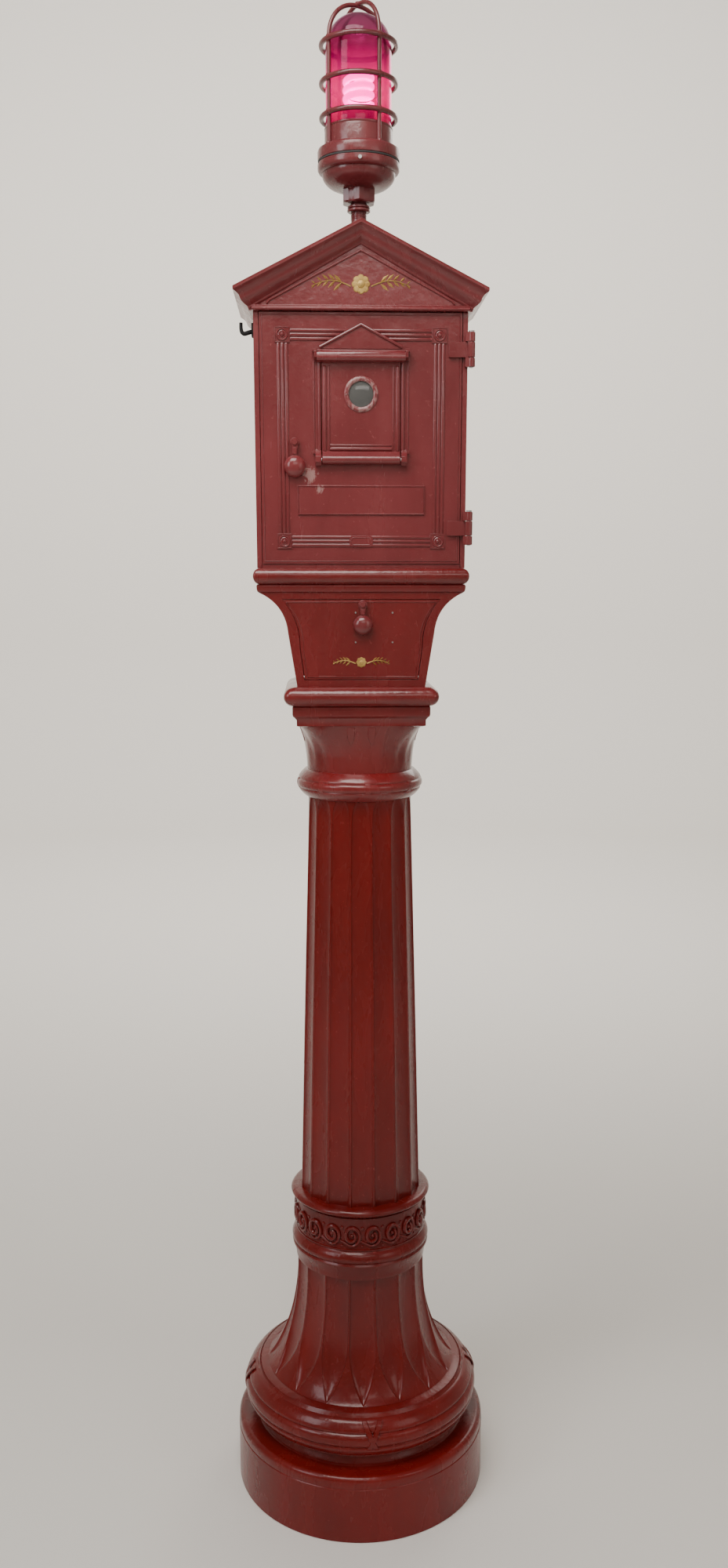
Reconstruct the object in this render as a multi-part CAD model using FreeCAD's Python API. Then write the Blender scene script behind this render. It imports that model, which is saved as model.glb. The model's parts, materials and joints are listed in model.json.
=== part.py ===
"""Street fire alarm box on a fluted cast-iron pedestal, with a caged beacon lamp on its ridge.

Millimetres. +Z is up, the front faces -Y, and the origin is the centre of the plinth's underside.
"""
import FreeCAD, Part
import math
import os

V = FreeCAD.Vector
UP = V(0, 0, 1)
RIGHT = V(1, 0, 0)
BACK = V(0, 1, 0)
HERE = V(0, 0, 0)

# ---- fits used all over -------------------------------------------------------------------
seat = 0.3          # daylight between pieces that lie on each other but aren't drawn face to face
running = 0.05      # radial clearance of a pin in a moving eye
cast_wall = 11.0    # wall of the pedestal castings

# ---- plinth -------------------------------------------------------------------------------
plinth_r = 203.0
plinth_h = 112.0
plinth_draft = 1.0
plinth_shoulder = 6.0
plinth_wall = 13.0
plinth_deck = 10.0
anchor_circle_r = 155.0
anchor_hole_r = 9.5
anchor_count = 4
anchor_lug_w = 52.0
anchor_lug_t = 18.0
anchor_lug_reach = 24.0

# ---- flared base --------------------------------------------------------------------------
foot_r = 171.0
scotia_h = 23.0
scotia_cut = 7.0
torus_r = 189.0
torus_h = 60.0
torus_reeds = 3
torus_reed_proud = 2.6
flare_neck_r = 102.7
flare_h = 192.0
flare_swell = 71.0
flare_reach = 185.0
flute_count = 16
flute_depth = 4.5
arris_share = 0.05
flare_rows = 7
flute_facets = 4
lancet_tip_share = 0.04
torus_shrink = 16.0
torus_swell = 8.0
foot_lip = 4.0
lancet_tip_rise = 9.0
lancet_length = 92.0
flange_t = 12.0
flange_w = 26.0

# ---- scroll collar ------------------------------------------------------------------------
collar_ovolo_h = 33.0
collar_rim_r = 110.0
collar_rim_h = 14.0
frieze_r = 104.0
frieze_h = 60.0
collar_plate_r = 111.0
collar_plate_h = 12.0
scroll_count = 20
scroll_proud = 4.6
scroll_band_w = 6.0
scroll_bow = 12.0
scroll_margin = 3.0
scroll_root = 3.0
scroll_facets = 5

# ---- fluted shaft, neck ring, capital -----------------------------------------------------
shaft_foot_r = 95.1
shaft_top_r = 77.2
shaft_h = 632.0
neck_r = 94.5
neck_h = 42.0
neck_reeds = 3
neck_reed_proud = 2.0
bell_foot_r = 78.5
bell_waist_r = 81.0
bell_waist_h = 50.0
bell_h = 71.0
bell_half = 93.0
bell_tuck = 5.0
leaf_rises = ((0.60, 0.08), (0.68, 0.45), (0.80, 0.78), (1.0, 1.0))
block_step = 5.5
block_h1 = 13.0
block_h2 = 15.0
slab_side = 221.0
slab_h = 28.0
slab_nose = 13.5
cable_way_r = 44.0

# ---- joint bolts --------------------------------------------------------------------------
bolt_r = 5.0
bolt_gap = 0.5
bolt_head_r = 9.0
bolt_head_h = 6.5
bolt_count = 4

# ---- terminal box -------------------------------------------------------------------------
tbox_depth = 182.0
tbox_foot_half = 91.0
tbox_knee_half = 103.0
tbox_knee_rise = 74.0
tbox_head_half = 144.0
tbox_head_rise = 131.0
tbox_sweep = 10.5
tbox_fillet_h = 11.0
tbox_slab_out = 6.0
tbox_slab_depth = 202.0
tbox_slab_h = 22.0
tbox_slab_nose = 10.0
tbox_wall = 8.0
tdoor_t = 7.0
tdoor_gap = 0.8
tdoor_rise = 10.0
tdoor_foot_half = 80.0
tdoor_knee_half = 86.0
tdoor_knee_rise = 55.0
tdoor_head_half = 110.5
tdoor_head_rise = 121.0
tdoor_sweep = 7.0
tdoor_pin_r = 2.0

# ---- alarm box shell ----------------------------------------------------------------------
shell_w = 290.0
shell_depth = 175.0
shell_h = 336.0
shell_wall = 7.0
shell_floor = 7.0

# ---- roof ---------------------------------------------------------------------------------
roof_overhang = 25.5
roof_eave_rise = 27.0
roof_apex_rise = 111.0
roof_band = 25.0
roof_front = 25.0
roof_fillet = 5.0
cornice_overhang = 1.5
cornice_h = 8.0
cornice_proud = 9.0
roof_shell_t = 12.0

# ---- outer door ---------------------------------------------------------------------------
door_gap = 0.8
door_foot_gap = 6.0
door_t = 9.0
door_proud = 1.5
band_edge_gap = 30.8
band_low_rise = 36.5
band_head_gap = 29.6
band_reeds = 3
band_reed_pitch = 5.4
band_reed_r = 2.4
band_proud = 1.4
rosette_half = 10.5
rosette_proud = 2.0
rosette_ring_r = 7.5
rosette_ring_t = 1.8
rosette_eye_r = 2.8
plate_half = 88.2
plate_low_rise = 71.6
plate_high_rise = 111.8
plate_proud = 1.6
plaque_half = 15.0
plaque_r = 5.5
gable_half = 52.3
gable_foot_drop = 45.5
gable_head_drop = 16.0
gable_proud = 6.0

# ---- hinges of the outer door -------------------------------------------------------------
hinge_out = 4.5
hinge_fore = 5.5
knuckle_r = 5.0
hinge_pin_r = 2.5
hinge_head_drop = 48.0
hinge_foot_rise = 53.9
hinge_strap_h = 19.6
hinge_h = 44.6
hinge_gap = 0.4
strap_reach = 24.0
strap_t = 3.6

# ---- quick-action inner door --------------------------------------------------------------
quick_half = 53.5
quick_low_rise = 153.0
quick_head_drop = 63.0
quick_gap = 0.8
quick_t = 8.0
quick_proud = 2.0
quick_panel_half = 41.8
quick_panel_margin = 6.0
quick_panel_proud = 1.2
quick_pin_rise = 145.0
quick_barrel_r = 6.0
quick_pin_r = 2.2
quick_ear_half = 61.0
quick_frame_w = 5.0
quick_frame_short = 4.0
quick_frame_proud = 3.0
hood_half = 62.5
hood_h = 14.5
hood_proud = 12.0
hood_t = 4.0
hood_ear_r = 7.0
window_drop = 42.6
window_glass_r = 17.8
window_glass_t = 3.0
bezel_r = 23.4
bezel_proud = 2.4
bezel_screw_x = 20.8
bezel_screw_r = 1.6

# ---- drop covers over the keyholes --------------------------------------------------------
cover_eye_r = 5.6
cover_arm_r = 3.4
cover_plate_t = 3.0
cover_screw_r = 2.4
cover_head_r = 4.2
cover_head_h = 2.2
bulb_shares = ((1.0, 0), (0.86, 0.46), (0.5, 0.74), (0, 0.8))
main_pivot_inset = 46.2
main_pivot_rise = 167.6
main_cover_drop = 31.6
main_bulb_r = 14.9
term_pivot_x = 2.0
term_pivot_rise = 114.0
term_cover_drop = 28.0
term_bulb_r = 14.0
boss_r = 6.5
boss_h = 3.2

# ---- locks --------------------------------------------------------------------------------
barrel_r = 8.0
lock_w = 58.0
lock_h = 62.0
lock_d = 18.0
lock_wall = 3.0
lock_bolt_w = 8.0
lock_bolt_h = 16.0
lock_throw = 6.0
cam_l = 22.0
term_cam_l = 40.0
cam_w = 9.0
cam_t = 3.0

# ---- movement -----------------------------------------------------------------------------
case_half = 88.0
case_low_rise = 118.0
case_head_drop = 24.0
case_depth = 80.0
case_wall = 4.0
frame_half = 74.0
frame_low_rise = 134.0
frame_head_drop = 38.0
frame_plate_t = 3.0
frame_space = 34.0
pillar_r = 5.0
pillar_inset = 10.0
arbor_r = 3.0
tooth_module = 1.5
great_teeth = 48
code_pinion_teeth = 16
code_gear_teeth = 32
fan_pinion_teeth = 16
gear_w = 5.0
tooth_slack = 0.32
great_x = -22.0
train_drop = 1.0
spring_barrel_r = 28.0
spring_barrel_w = 14.0
code_wheel_r = 21.0
code_wheel_t = 4.0
code_notches = 9
fan_blade_l = 11.0
fan_blade_w = 10.0
fan_blade_t = 1.2
lever_x = -58.0
lever_drop = 11.0
lever_l = 96.0
lever_w = 11.0
lever_t = 5.0
lever_knob_r = 9.0
lever_knob_l = 22.0
spring_leaf_l = 34.0
spring_leaf_w = 8.0
spring_leaf_t = 1.0
spring_pack_t = 8.0

# ---- key, jack and bell in the lower part of the box --------------------------------------
shelf_rise = 78.0
shelf_t = 5.0
shelf_half_w = 100.0
shelf_depth = 70.0
key_x = -58.0
key_base_w = 42.0
key_base_l = 56.0
key_base_t = 8.0
key_lever_l = 66.0
key_lever_w = 9.0
key_lever_t = 5.0
key_knob_r = 10.0
key_travel_gap = 3.0
key_pin_r = 1.8
jack_x = 58.0
jack_r = 9.0
jack_bore_r = 3.2
jack_l = 34.0
gong_x = 0.0
gong_r = 30.0
gong_t = 3.0
gong_post_r = 4.0

# ---- terminal board -----------------------------------------------------------------------
board_half = 66.0
board_h = 78.0
board_t = 12.0
board_rise = 30.0
post_r = 4.0
post_l = 14.0
post_columns = 6
post_rows = 2
fuse_r = 6.0
fuse_l = 34.0

# ---- lamp ---------------------------------------------------------------------------------
pipe_r = 10.65
pipe_h = 50.0
pipe_below = 36.0
pipe_wall = 2.8
locknut_r = 16.0
locknut_h = 8.0
locknut_rise = 36.0
hub_across_flats = 43.0
hub_h = 17.0
bowl_r = 49.0
bowl_h = 34.0
bowl_wall = 3.0
rim_r = 56.5
rim_h = 13.0
gasket_h = 2.0
guard_rim_h = 16.0
holder_r = 46.3
holder_t = 2.6
holder_h = 39.0
globe_r = 45.0
globe_wall = 3.0
globe_neck_r = 43.2
globe_straight_h = 100.0
globe_dome_h = 39.0
guard_wire_r = 2.6
guard_ring_r = 50.0
guard_ring_rises = (54.0, 97.0, 144.0)
guard_rib_turn = 33.0
guard_hoop_in = 0.9
guard_shoulder = 3.0
guard_ribs = 4
socket_r = 19.0
socket_h = 40.0
ballast_r = 22.0
ballast_h = 60.0
spiral_r = 17.5
spiral_wire_r = 5.0
spiral_pitch = 12.5
spiral_turns = 3.0
guard_screw_r = 2.4
guard_screw_count = 3

# ---- eave hook ----------------------------------------------------------------------------
hook_wire_r = 3.2
hook_reach = 21.0
hook_drop = 22.0
hook_up = 17.0
hook_y = -66.0
hook_foot_w = 13.0
hook_foot_h = 20.0
hook_foot_t = 3.0

# ---- heights and planes worked out from the sizes above -----------------------------------
base_z = plinth_h
torus_z = base_z + scotia_h
flare_z = torus_z + torus_h + 4.0
flare_top_z = flare_z + flare_h
collar_z = flare_top_z
frieze_z = collar_z + collar_ovolo_h + collar_rim_h
plate_z = frieze_z + frieze_h
shaft_z = plate_z + collar_plate_h
neck_z = shaft_z + shaft_h
bell_z = neck_z + neck_h
block_z = bell_z + bell_h
slab_z = block_z + block_h1 + block_h2
tbox_z = slab_z + slab_h
tslab_z = tbox_z + tbox_head_rise + tbox_fillet_h
shell_z = tslab_z + tbox_slab_h
roof_z = shell_z + shell_h
roof_half = shell_w / 2 + roof_overhang
cornice_half = shell_w / 2 + cornice_overhang
tbox_slab_half = shell_w / 2 + tbox_slab_out
apex_z = roof_z + roof_apex_rise
eave_z = roof_z + roof_eave_rise

tface_y = -tbox_depth / 2
shell_y = -shell_depth / 2
door_y = shell_y - door_proud
door_in_y = door_y + door_t
shell_in_y = shell_depth / 2 - shell_wall
shell_in_half = shell_w / 2 - shell_wall
door_half = shell_in_half - door_gap
band_x = door_half - band_edge_gap
main_pivot_x = -door_half + main_pivot_inset
door_z = shell_z + door_foot_gap
door_top_z = roof_z - door_gap
hinge_x = shell_w / 2 + hinge_out
hinge_y = shell_y - hinge_fore
hinge_mids = (roof_z - hinge_head_drop, shell_z + hinge_foot_rise)
quick_y = door_y - quick_proud
quick_high_z = roof_z - quick_head_drop
window_z = quick_high_z - window_drop
quick_pin_y = door_y - quick_barrel_r - 0.5
quick_pin_z = shell_z + quick_pin_rise

roof_slope = math.atan2(apex_z - eave_z, roof_half)
lamp_z = apex_z - 3.0
hub_z = lamp_z + locknut_rise + locknut_h + 3.0
bowl_z = hub_z + hub_h
rim_z = bowl_z + bowl_h - rim_h
guard_z = rim_z + rim_h + gasket_h


# ---- small tools --------------------------------------------------------------------------
def wire(points, place):
    """A closed wire. A third number on a point is the sagitta of the arc that reaches it,
    to the left of its chord."""
    edges = []
    for i, point in enumerate(points):
        ax, ay = points[i - 1][:2]
        bx, by = point[:2]
        start, end = place(ax, ay), place(bx, by)
        if len(point) > 2:
            dx, dy = bx - ax, by - ay
            lean = point[2] / math.hypot(dx, dy)
            middle = place((ax + bx) / 2 - dy * lean, (ay + by) / 2 + dx * lean)
            edges.append(Part.Arc(start, middle, end).toShape())
        else:
            edges.append(Part.LineSegment(start, end).toShape())
    return Part.Wire(edges)


def lathe(points):
    """Turn a profile of (radius, height) points about the pedestal's axis."""
    face = Part.Face(wire(points, lambda r, z: V(r, 0, z)))
    return face.revolve(HERE, UP, 360)


def front_prism(points, y0, y1):
    """Extrude an outline of (x, z) points from y0 to y1."""
    face = Part.Face(wire(points, lambda x, z: V(x, y0, z)))
    return face.extrude(V(0, y1 - y0, 0))


def side_prism(points, x0, x1):
    """Extrude an outline of (y, z) points from x0 to x1."""
    face = Part.Face(wire(points, lambda y, z: V(x0, y, z)))
    return face.extrude(V(x1 - x0, 0, 0))


def box(x0, x1, y0, y1, z0, z1):
    return Part.makeBox(x1 - x0, y1 - y0, z1 - z0, V(x0, y0, z0))


def rod(r, length, start, direction):
    return Part.makeCylinder(r, length, start, direction)


def ring_of(shape, count, first=0.0):
    """Copies of a shape turned evenly about the pedestal's axis."""
    out = []
    for i in range(count):
        turned = shape.copy()
        turned.rotate(HERE, UP, first + i * 360.0 / count)
        out.append(turned)
    return out


def mirror_x(points):
    """Complete an outline, given bottom to top on the right, with its left half."""
    left = []
    for i in range(len(points) - 1, -1, -1):
        after = points[i + 1] if i + 1 < len(points) else ()
        left.append((-points[i][0], points[i][1]) + tuple(after[2:]))
    return list(points) + left


def fuse(shapes):
    return shapes[0].multiFuse(shapes[1:]).removeSplitter() if len(shapes) > 1 else shapes[0]


def skin(rings, flat):
    """A closed solid over rings of points, one above the other. Flat skins take one face between
    neighbours, the others take two triangles."""
    faces = [Part.Face(Part.makePolygon(ring + ring[:1])) for ring in (rings[0], rings[-1])]
    for low, high in zip(rings, rings[1:]):
        for i in range(len(low)):
            k = (i + 1) % len(low)
            quad = [low[i], low[k], high[k], high[i]]
            for corners in ([quad] if flat else [quad[:3], [quad[0]] + quad[2:]]):
                faces.append(Part.Face(Part.makePolygon(corners + corners[:1])))
    solid = Part.makeSolid(Part.makeShell(faces))
    if solid.Volume < 0:
        solid.reverse()
    return solid


def tube(path, r, sides, closed):
    """A faceted wire bent along a path of points, open with flat ends or closed on itself."""
    rings = []
    for i, here in enumerate(path):
        before = path[i - 1] if i or closed else here
        after = path[(i + 1) % len(path)] if i + 1 < len(path) or closed else here
        way = (after - before).normalize()
        side = way.cross(UP) if abs(way.z) < 0.99 else way.cross(tube_side(path))
        side = side.normalize()
        over = way.cross(side)
        rings.append([here + side * (r * math.cos(k * 2 * math.pi / sides))
                      + over * (r * math.sin(k * 2 * math.pi / sides)) for k in range(sides)])
    faces = [] if closed else [Part.Face(Part.makePolygon(e + e[:1])) for e in (rings[0], rings[-1])]
    pairs = list(zip(rings, rings[1:] + rings[:1])) if closed else list(zip(rings, rings[1:]))
    for low, high in pairs:
        for i in range(sides):
            k = (i + 1) % sides
            for corners in ([low[i], low[k], high[k]], [low[i], high[k], high[i]]):
                faces.append(Part.Face(Part.makePolygon(corners + corners[:1])))
    solid = Part.makeSolid(Part.makeShell(faces))
    if solid.Volume < 0:
        solid.reverse()
    return solid


def tube_side(path):
    """The level direction that a hoop's plane holds, for the stretches of it that stand upright."""
    across = path[-1] - path[0]
    return V(across.x, across.y, 0).normalize()


def save(name, shape):
    shape.exportStep("parts/" + name + ".step")
    print(name, "solids", len(shape.Solids), "valid", shape.isValid())


def compound(shapes):
    return Part.makeCompound(shapes)


# ---- pedestal -----------------------------------------------------------------------------
def plinth():
    top_r = plinth_r - plinth_draft
    inner_r = plinth_r - plinth_wall
    deck_z = plinth_h - plinth_deck
    ring = lathe([
        (inner_r, 0), (plinth_r, 0), (top_r, plinth_h - plinth_shoulder),
        (top_r - plinth_shoulder, plinth_h),
        (foot_r - flange_w * 2, plinth_h), (foot_r - flange_w * 2, deck_z), (inner_r, deck_z)])
    lug = box(anchor_circle_r - anchor_lug_reach, inner_r + 1, -anchor_lug_w / 2, anchor_lug_w / 2,
              0, anchor_lug_t)
    lug = lug.cut(rod(anchor_hole_r, anchor_lug_t, V(anchor_circle_r, 0, 0), UP))
    return fuse([ring] + ring_of(lug, anchor_count, 45))


def reeds(low, high, count, proud, swell):
    """Points of a stack of reeds on a round moulding between two points, two facets to a reed."""
    (r0, z0), (r1, z1) = low, high
    out = []
    for i in range(2 * count):
        t = (i + 1) / (2 * count)
        r = r0 + (r1 - r0) * t + swell * math.sqrt(max(1 - (2 * t - 1) ** 2, 0.0))
        out.append((r + proud * ((i + 1) % 2), z0 + (z1 - z0) * t))
    return out


def flare_r(z):
    """Radius of the concave flare: a quarter of an ellipse standing on the torus."""
    drop = (flare_z + flare_reach - z) / flare_reach
    drop = min(max(drop, 0.0), 1.0)
    return flare_neck_r + flare_swell * (1 - math.sqrt(1 - (drop * 0.975) ** 2))


def flute_share(z):
    """How far a flute is open at a height: 0 at its lancet tip, 1 where it meets its neighbours."""
    rise = min(max((z - flare_z - lancet_tip_rise) / lancet_length, 0.0), 1.0)
    return math.sin(rise * math.pi / 2) ** 0.8


def flare_section(z):
    """The flare's section: flutes with lands between them, which widen towards the tips."""
    r = flare_r(z)
    step = 2 * math.pi / flute_count
    share = max(flute_share(z), lancet_tip_share)
    half = step / 2 * (1 - arris_share) * share
    sunk = flute_depth * share * share * r / flare_neck_r
    points = []
    for i in range(flute_count):
        middle = (i - 0.25 * flute_count) * step
        for k in range(flute_facets + 1):
            t = 2.0 * k / flute_facets - 1
            chord = r * math.cos(half) / math.cos(half * t) - r
            here = r + chord - sunk * (1 - t * t)
            points.append(V(here * math.cos(middle + half * t), here * math.sin(middle + half * t), z))
    return points


def bolt_holes(circle_r, z0, z1):
    hole = rod(bolt_r + bolt_gap, z1 - z0, V(circle_r, 0, z0), UP)
    return ring_of(hole, bolt_count, 45)


lower_bolt_r = flare_neck_r - flute_depth - cast_wall - bolt_head_r - 3.0
upper_bolt_r = shaft_foot_r - flute_depth * 2 - cast_wall - bolt_head_r - 3.0


def flared_base():
    neck_in = flare_neck_r - flute_depth - cast_wall
    tip_z = flare_z + lancet_tip_rise
    rows = [tip_z + (flare_top_z - tip_z) * (i / flare_rows) ** 1.5 for i in range(flare_rows + 1)]
    fluted = skin([flare_section(z) for z in rows], False)
    torus_top = (torus_r - torus_shrink, torus_z + torus_h)
    torus_foot = (foot_r + foot_lip, torus_z)
    lower = lathe(
        [(0, base_z), (foot_r, base_z), (foot_r - scotia_cut, (base_z + torus_z) / 2), torus_foot]
        + reeds(torus_foot, torus_top, torus_reeds, torus_reed_proud, torus_swell)
        + [(flare_r(flare_z), flare_z), (flare_r(tip_z), tip_z), (0, tip_z)])
    inner = cast_wall + flute_depth
    hollow = lathe(
        [(0, base_z), (foot_r - scotia_cut - cast_wall, base_z), (flare_r(tip_z) - inner, tip_z)]
        + [(flare_r(z) - inner, z) for z in rows[2:-1:2]]
        + [(neck_in, flare_top_z - flange_t), (neck_in - flange_w, flare_top_z - flange_t),
           (neck_in - flange_w, flare_top_z), (0, flare_top_z)])
    body = lower.fuse(fluted).cut(hollow)
    return body.cut(bolt_holes(lower_bolt_r, flare_top_z - flange_t, flare_top_z))


def bowed(start, end, sagitta):
    """Points of a flat arc from start towards end, which it leaves to the next piece."""
    (x0, z0), (x1, z1) = start, end
    length = math.hypot(x1 - x0, z1 - z0)
    out = []
    for i in range(scroll_facets):
        t = i / scroll_facets
        off = 4 * sagitta * t * (1 - t) / length
        out.append((x0 + (x1 - x0) * t - (z1 - z0) * off, z0 + (z1 - z0) * t + (x1 - x0) * off))
    return out


def scroll():
    """One crest of the running scroll: a crescent that rises from the last one and leans over."""
    pitch = 2 * math.pi * frieze_r / scroll_count
    half = frieze_h / 2 - scroll_margin
    mid_z = frieze_z + frieze_h / 2
    near, far = frieze_r - scroll_root, frieze_r + scroll_proud
    foot, tip = (-pitch * 0.46, -half), (pitch * 0.30, half * 0.35)
    outline = bowed(foot, tip, scroll_bow + scroll_band_w) + bowed(tip, foot, -scroll_bow)
    face = Part.Face(wire(outline, lambda x, z: V(near, x, mid_z + z)))
    return face.extrude(V(far - near, 0, 0))


def scroll_collar():
    plate_in = upper_bolt_r - bolt_head_r - 4.0
    lower_in = flare_neck_r - flute_depth - cast_wall - flange_w
    wall_in = frieze_r - cast_wall - 3.0
    ring = lathe([
        (lower_in, collar_z), (flare_neck_r + 1.0, collar_z),
        (collar_rim_r - 2.0, collar_z + collar_ovolo_h * 0.6), (collar_rim_r, frieze_z - 3.0),
        (frieze_r, frieze_z), (frieze_r, plate_z), (collar_plate_r, plate_z + 2.0),
        (collar_plate_r, shaft_z - 3.0), (collar_plate_r - 3.0, shaft_z), (plate_in, shaft_z),
        (plate_in, plate_z),
        (wall_in, plate_z), (wall_in, collar_z + flange_t), (lower_in, collar_z + flange_t)])
    pieces = [ring]
    pieces += ring_of(scroll(), scroll_count, 360.0 / scroll_count / 2)
    body = pieces[0].multiFuse(pieces[1:])
    body = body.cut(bolt_holes(lower_bolt_r, collar_z, collar_z + flange_t))
    return body.cut(bolt_holes(upper_bolt_r, plate_z, shaft_z))


def fluted_shaft():
    """A taper cut by round cutters set side by side, so that they meet in sharp arrises."""
    ratio = shaft_top_r / shaft_foot_r
    low_in = shaft_foot_r - flute_depth * 2 - cast_wall
    top_in = shaft_top_r - flute_depth * 2 - cast_wall
    flange_in = upper_bolt_r - bolt_head_r - 4.0
    body = lathe([(flange_in, shaft_z), (shaft_foot_r, shaft_z), (shaft_top_r, neck_z),
                  (top_in, neck_z), (low_in, shaft_z + flange_t), (flange_in, shaft_z + flange_t)])
    half = math.pi / flute_count
    chord = shaft_foot_r * math.sin(half)
    cutter_r = (chord ** 2 + flute_depth ** 2) / (2 * flute_depth)
    axis_r = shaft_foot_r * math.cos(half) - flute_depth + cutter_r
    lean = V(axis_r * (ratio - 1), 0, shaft_h)
    cutter = Part.makeCone(cutter_r, cutter_r * ratio, lean.Length, V(axis_r, 0, shaft_z), lean)
    below = rod(cutter_r, 20, V(axis_r, 0, shaft_z) - lean.normalize() * 20, lean)
    cutter = fuse([cutter, below])
    body = body.cut(ring_of(cutter, flute_count, 360.0 / flute_count / 2 * (flute_count % 4 != 0)))
    return body.cut(bolt_holes(upper_bolt_r, shaft_z, shaft_z + flange_t))


def joint_bolts():
    """Hexagon bolts that hold the base to the collar and the collar to the shaft."""
    out = []
    for circle_r, low, high in ((lower_bolt_r, flare_top_z - flange_t, collar_z + flange_t),
                                (upper_bolt_r, plate_z, shaft_z + flange_t)):
        shank = rod(bolt_r, high - low, V(circle_r, 0, low), UP)
        heads = [Part.Face(Part.makePolygon([
            V(circle_r + bolt_head_r * math.cos(k * math.pi / 3),
              bolt_head_r * math.sin(k * math.pi / 3), z) for k in range(7)])).extrude(UP * h)
            for z, h in ((high, bolt_head_h), (low, -bolt_head_h))]
        out += ring_of(fuse([shank] + heads), bolt_count, 45)
    return compound(out)


def neck_ring():
    side = bell_foot_r + 1.5
    inner = shaft_top_r - flute_depth * 2 - cast_wall
    outline = [(inner, neck_z), (side, neck_z)]
    outline += reeds((side, neck_z), (side, bell_z), neck_reeds, neck_reed_proud,
                     neck_r - side - neck_reed_proud)
    return lathe(outline + [(inner, bell_z)])


def square(half, z):
    return [V(-half, -half, z), V(half, -half, z), V(half, half, z), V(-half, half, z)]


def capital():
    """Round bell with four corner leaves that flare out to a square block, and a bullnosed slab."""
    bell = lathe([(0, bell_z), (bell_foot_r, bell_z), (bell_waist_r, bell_z + bell_waist_h),
                  (bell_half - bell_tuck, block_z), (0, block_z)])
    leaves = skin([square(bell_half * share, bell_z + bell_h * rise)
                   for share, rise in leaf_rises], True)
    half = bell_half
    low = box(-half, half, -half, half, block_z, block_z + block_h1)
    half += block_step
    high = box(-half, half, -half, half, block_z + block_h1, slab_z)
    high = high.makeChamfer(3.0, [e for e in high.Edges if abs(e.BoundBox.ZMax - high.BoundBox.ZMin) < 0.01])
    low = low.makeFillet(4.0, [e for e in low.Edges if e.BoundBox.ZLength > 1])
    half = slab_side / 2
    slab = box(-half, half, -half, half, slab_z, tbox_z)
    slab = slab.makeFillet(slab_nose * 0.9, [e for e in slab.Edges if e.BoundBox.ZLength > 1])
    slab = slab.makeFillet(slab_nose, [e for e in slab.Edges if e.BoundBox.ZLength < 0.01])
    solid = fuse([bell, leaves, low, high, slab])
    way = lathe([(0, bell_z), (shaft_top_r - flute_depth * 2 - cast_wall, bell_z),
                 (cable_way_r, block_z), (cable_way_r, tbox_z), (0, tbox_z)])
    return solid.cut(way)


# ---- terminal box -------------------------------------------------------------------------
def tbox_outline(inset, low, high):
    """Front outline of the terminal box: nearly straight sides that sweep out under the slab."""
    return mirror_x([(tbox_foot_half - inset, low), (tbox_knee_half - inset, tbox_z + tbox_knee_rise),
                     (tbox_head_half - inset, high, tbox_sweep)])


def tdoor_outline(grow):
    low, knee, high = (tbox_z + rise for rise in (tdoor_rise, tdoor_knee_rise, tdoor_head_rise))
    return mirror_x([(tdoor_foot_half + grow, low - grow), (tdoor_knee_half + grow, knee),
                     (tdoor_head_half + grow, high + grow, tdoor_sweep)])


tpin_y = tface_y + tdoor_t / 2
tpin_z = tbox_z + tdoor_rise + tdoor_t / 2


def terminal_box():
    front, back = tface_y, tbox_depth / 2
    body = front_prism(tbox_outline(0, tbox_z, tbox_z + tbox_head_rise), front, back)
    head = tbox_head_half
    fillet = box(-head, head, front, back, tbox_z + tbox_head_rise, tslab_z)
    cavity = front_prism(tbox_outline(tbox_wall, tbox_z + tbox_wall, tbox_z + tbox_head_rise),
                         front + tbox_wall, back - tbox_wall)
    half, deep = tbox_slab_half, tbox_slab_depth / 2
    slab = box(-half, half, -deep, deep, tslab_z, shell_z)
    slab = slab.makeFillet(tbox_slab_nose, [e for e in slab.Edges if e.BoundBox.ZLength < 0.01
                                            and e.BoundBox.YMin < deep - 1])
    solid = fuse([body, fillet, slab]).cut(cavity)
    mouth = front_prism(tdoor_outline(tdoor_gap), front - 1, front + tbox_wall + 1)
    half = tdoor_foot_half + tbox_wall - 1
    pin_way = rod(tdoor_pin_r + running, half * 2, V(-half, tpin_y, tpin_z), RIGHT)
    way = rod(cable_way_r, shell_z - tbox_z, V(0, 0, tbox_z), UP)
    return solid.cut([mouth, pin_way, way])


def key_boss(x, z, face_y):
    """Round pad under a drop cover's pivot screw."""
    return rod(boss_r, boss_h, V(x, face_y, z), BACK * -1)


def terminal_door():
    front = tface_y
    panel = front_prism(tdoor_outline(0), front, front + tdoor_t)
    low = tbox_z + tdoor_rise
    half = tdoor_foot_half
    panel = panel.cut(box(-half - 2, half + 2, front - 1, front + tdoor_t + 1, low - 1, tpin_z))
    nose = rod(tdoor_t / 2, half * 2, V(-half, tpin_y, tpin_z), RIGHT)
    boss_z = tbox_z + term_pivot_rise
    keyhole = rod(barrel_r + running, tdoor_t + 2, V(term_pivot_x, front - 1, boss_z - term_cover_drop),
                  BACK)
    screw_way = rod(cover_screw_r, tdoor_t + boss_h, V(term_pivot_x, front - boss_h, boss_z), BACK)
    pin_way = rod(tdoor_pin_r + running, half * 2 + 2, V(-half - 1, tpin_y, tpin_z), RIGHT)
    solid = fuse([panel, nose, key_boss(term_pivot_x, boss_z, front)])
    return solid.cut([keyhole, screw_way, pin_way])


def terminal_hinge_pin():
    half = tdoor_foot_half + tbox_wall - 1.5
    return rod(tdoor_pin_r, half * 2, V(-half, tpin_y, tpin_z), RIGHT)


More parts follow.
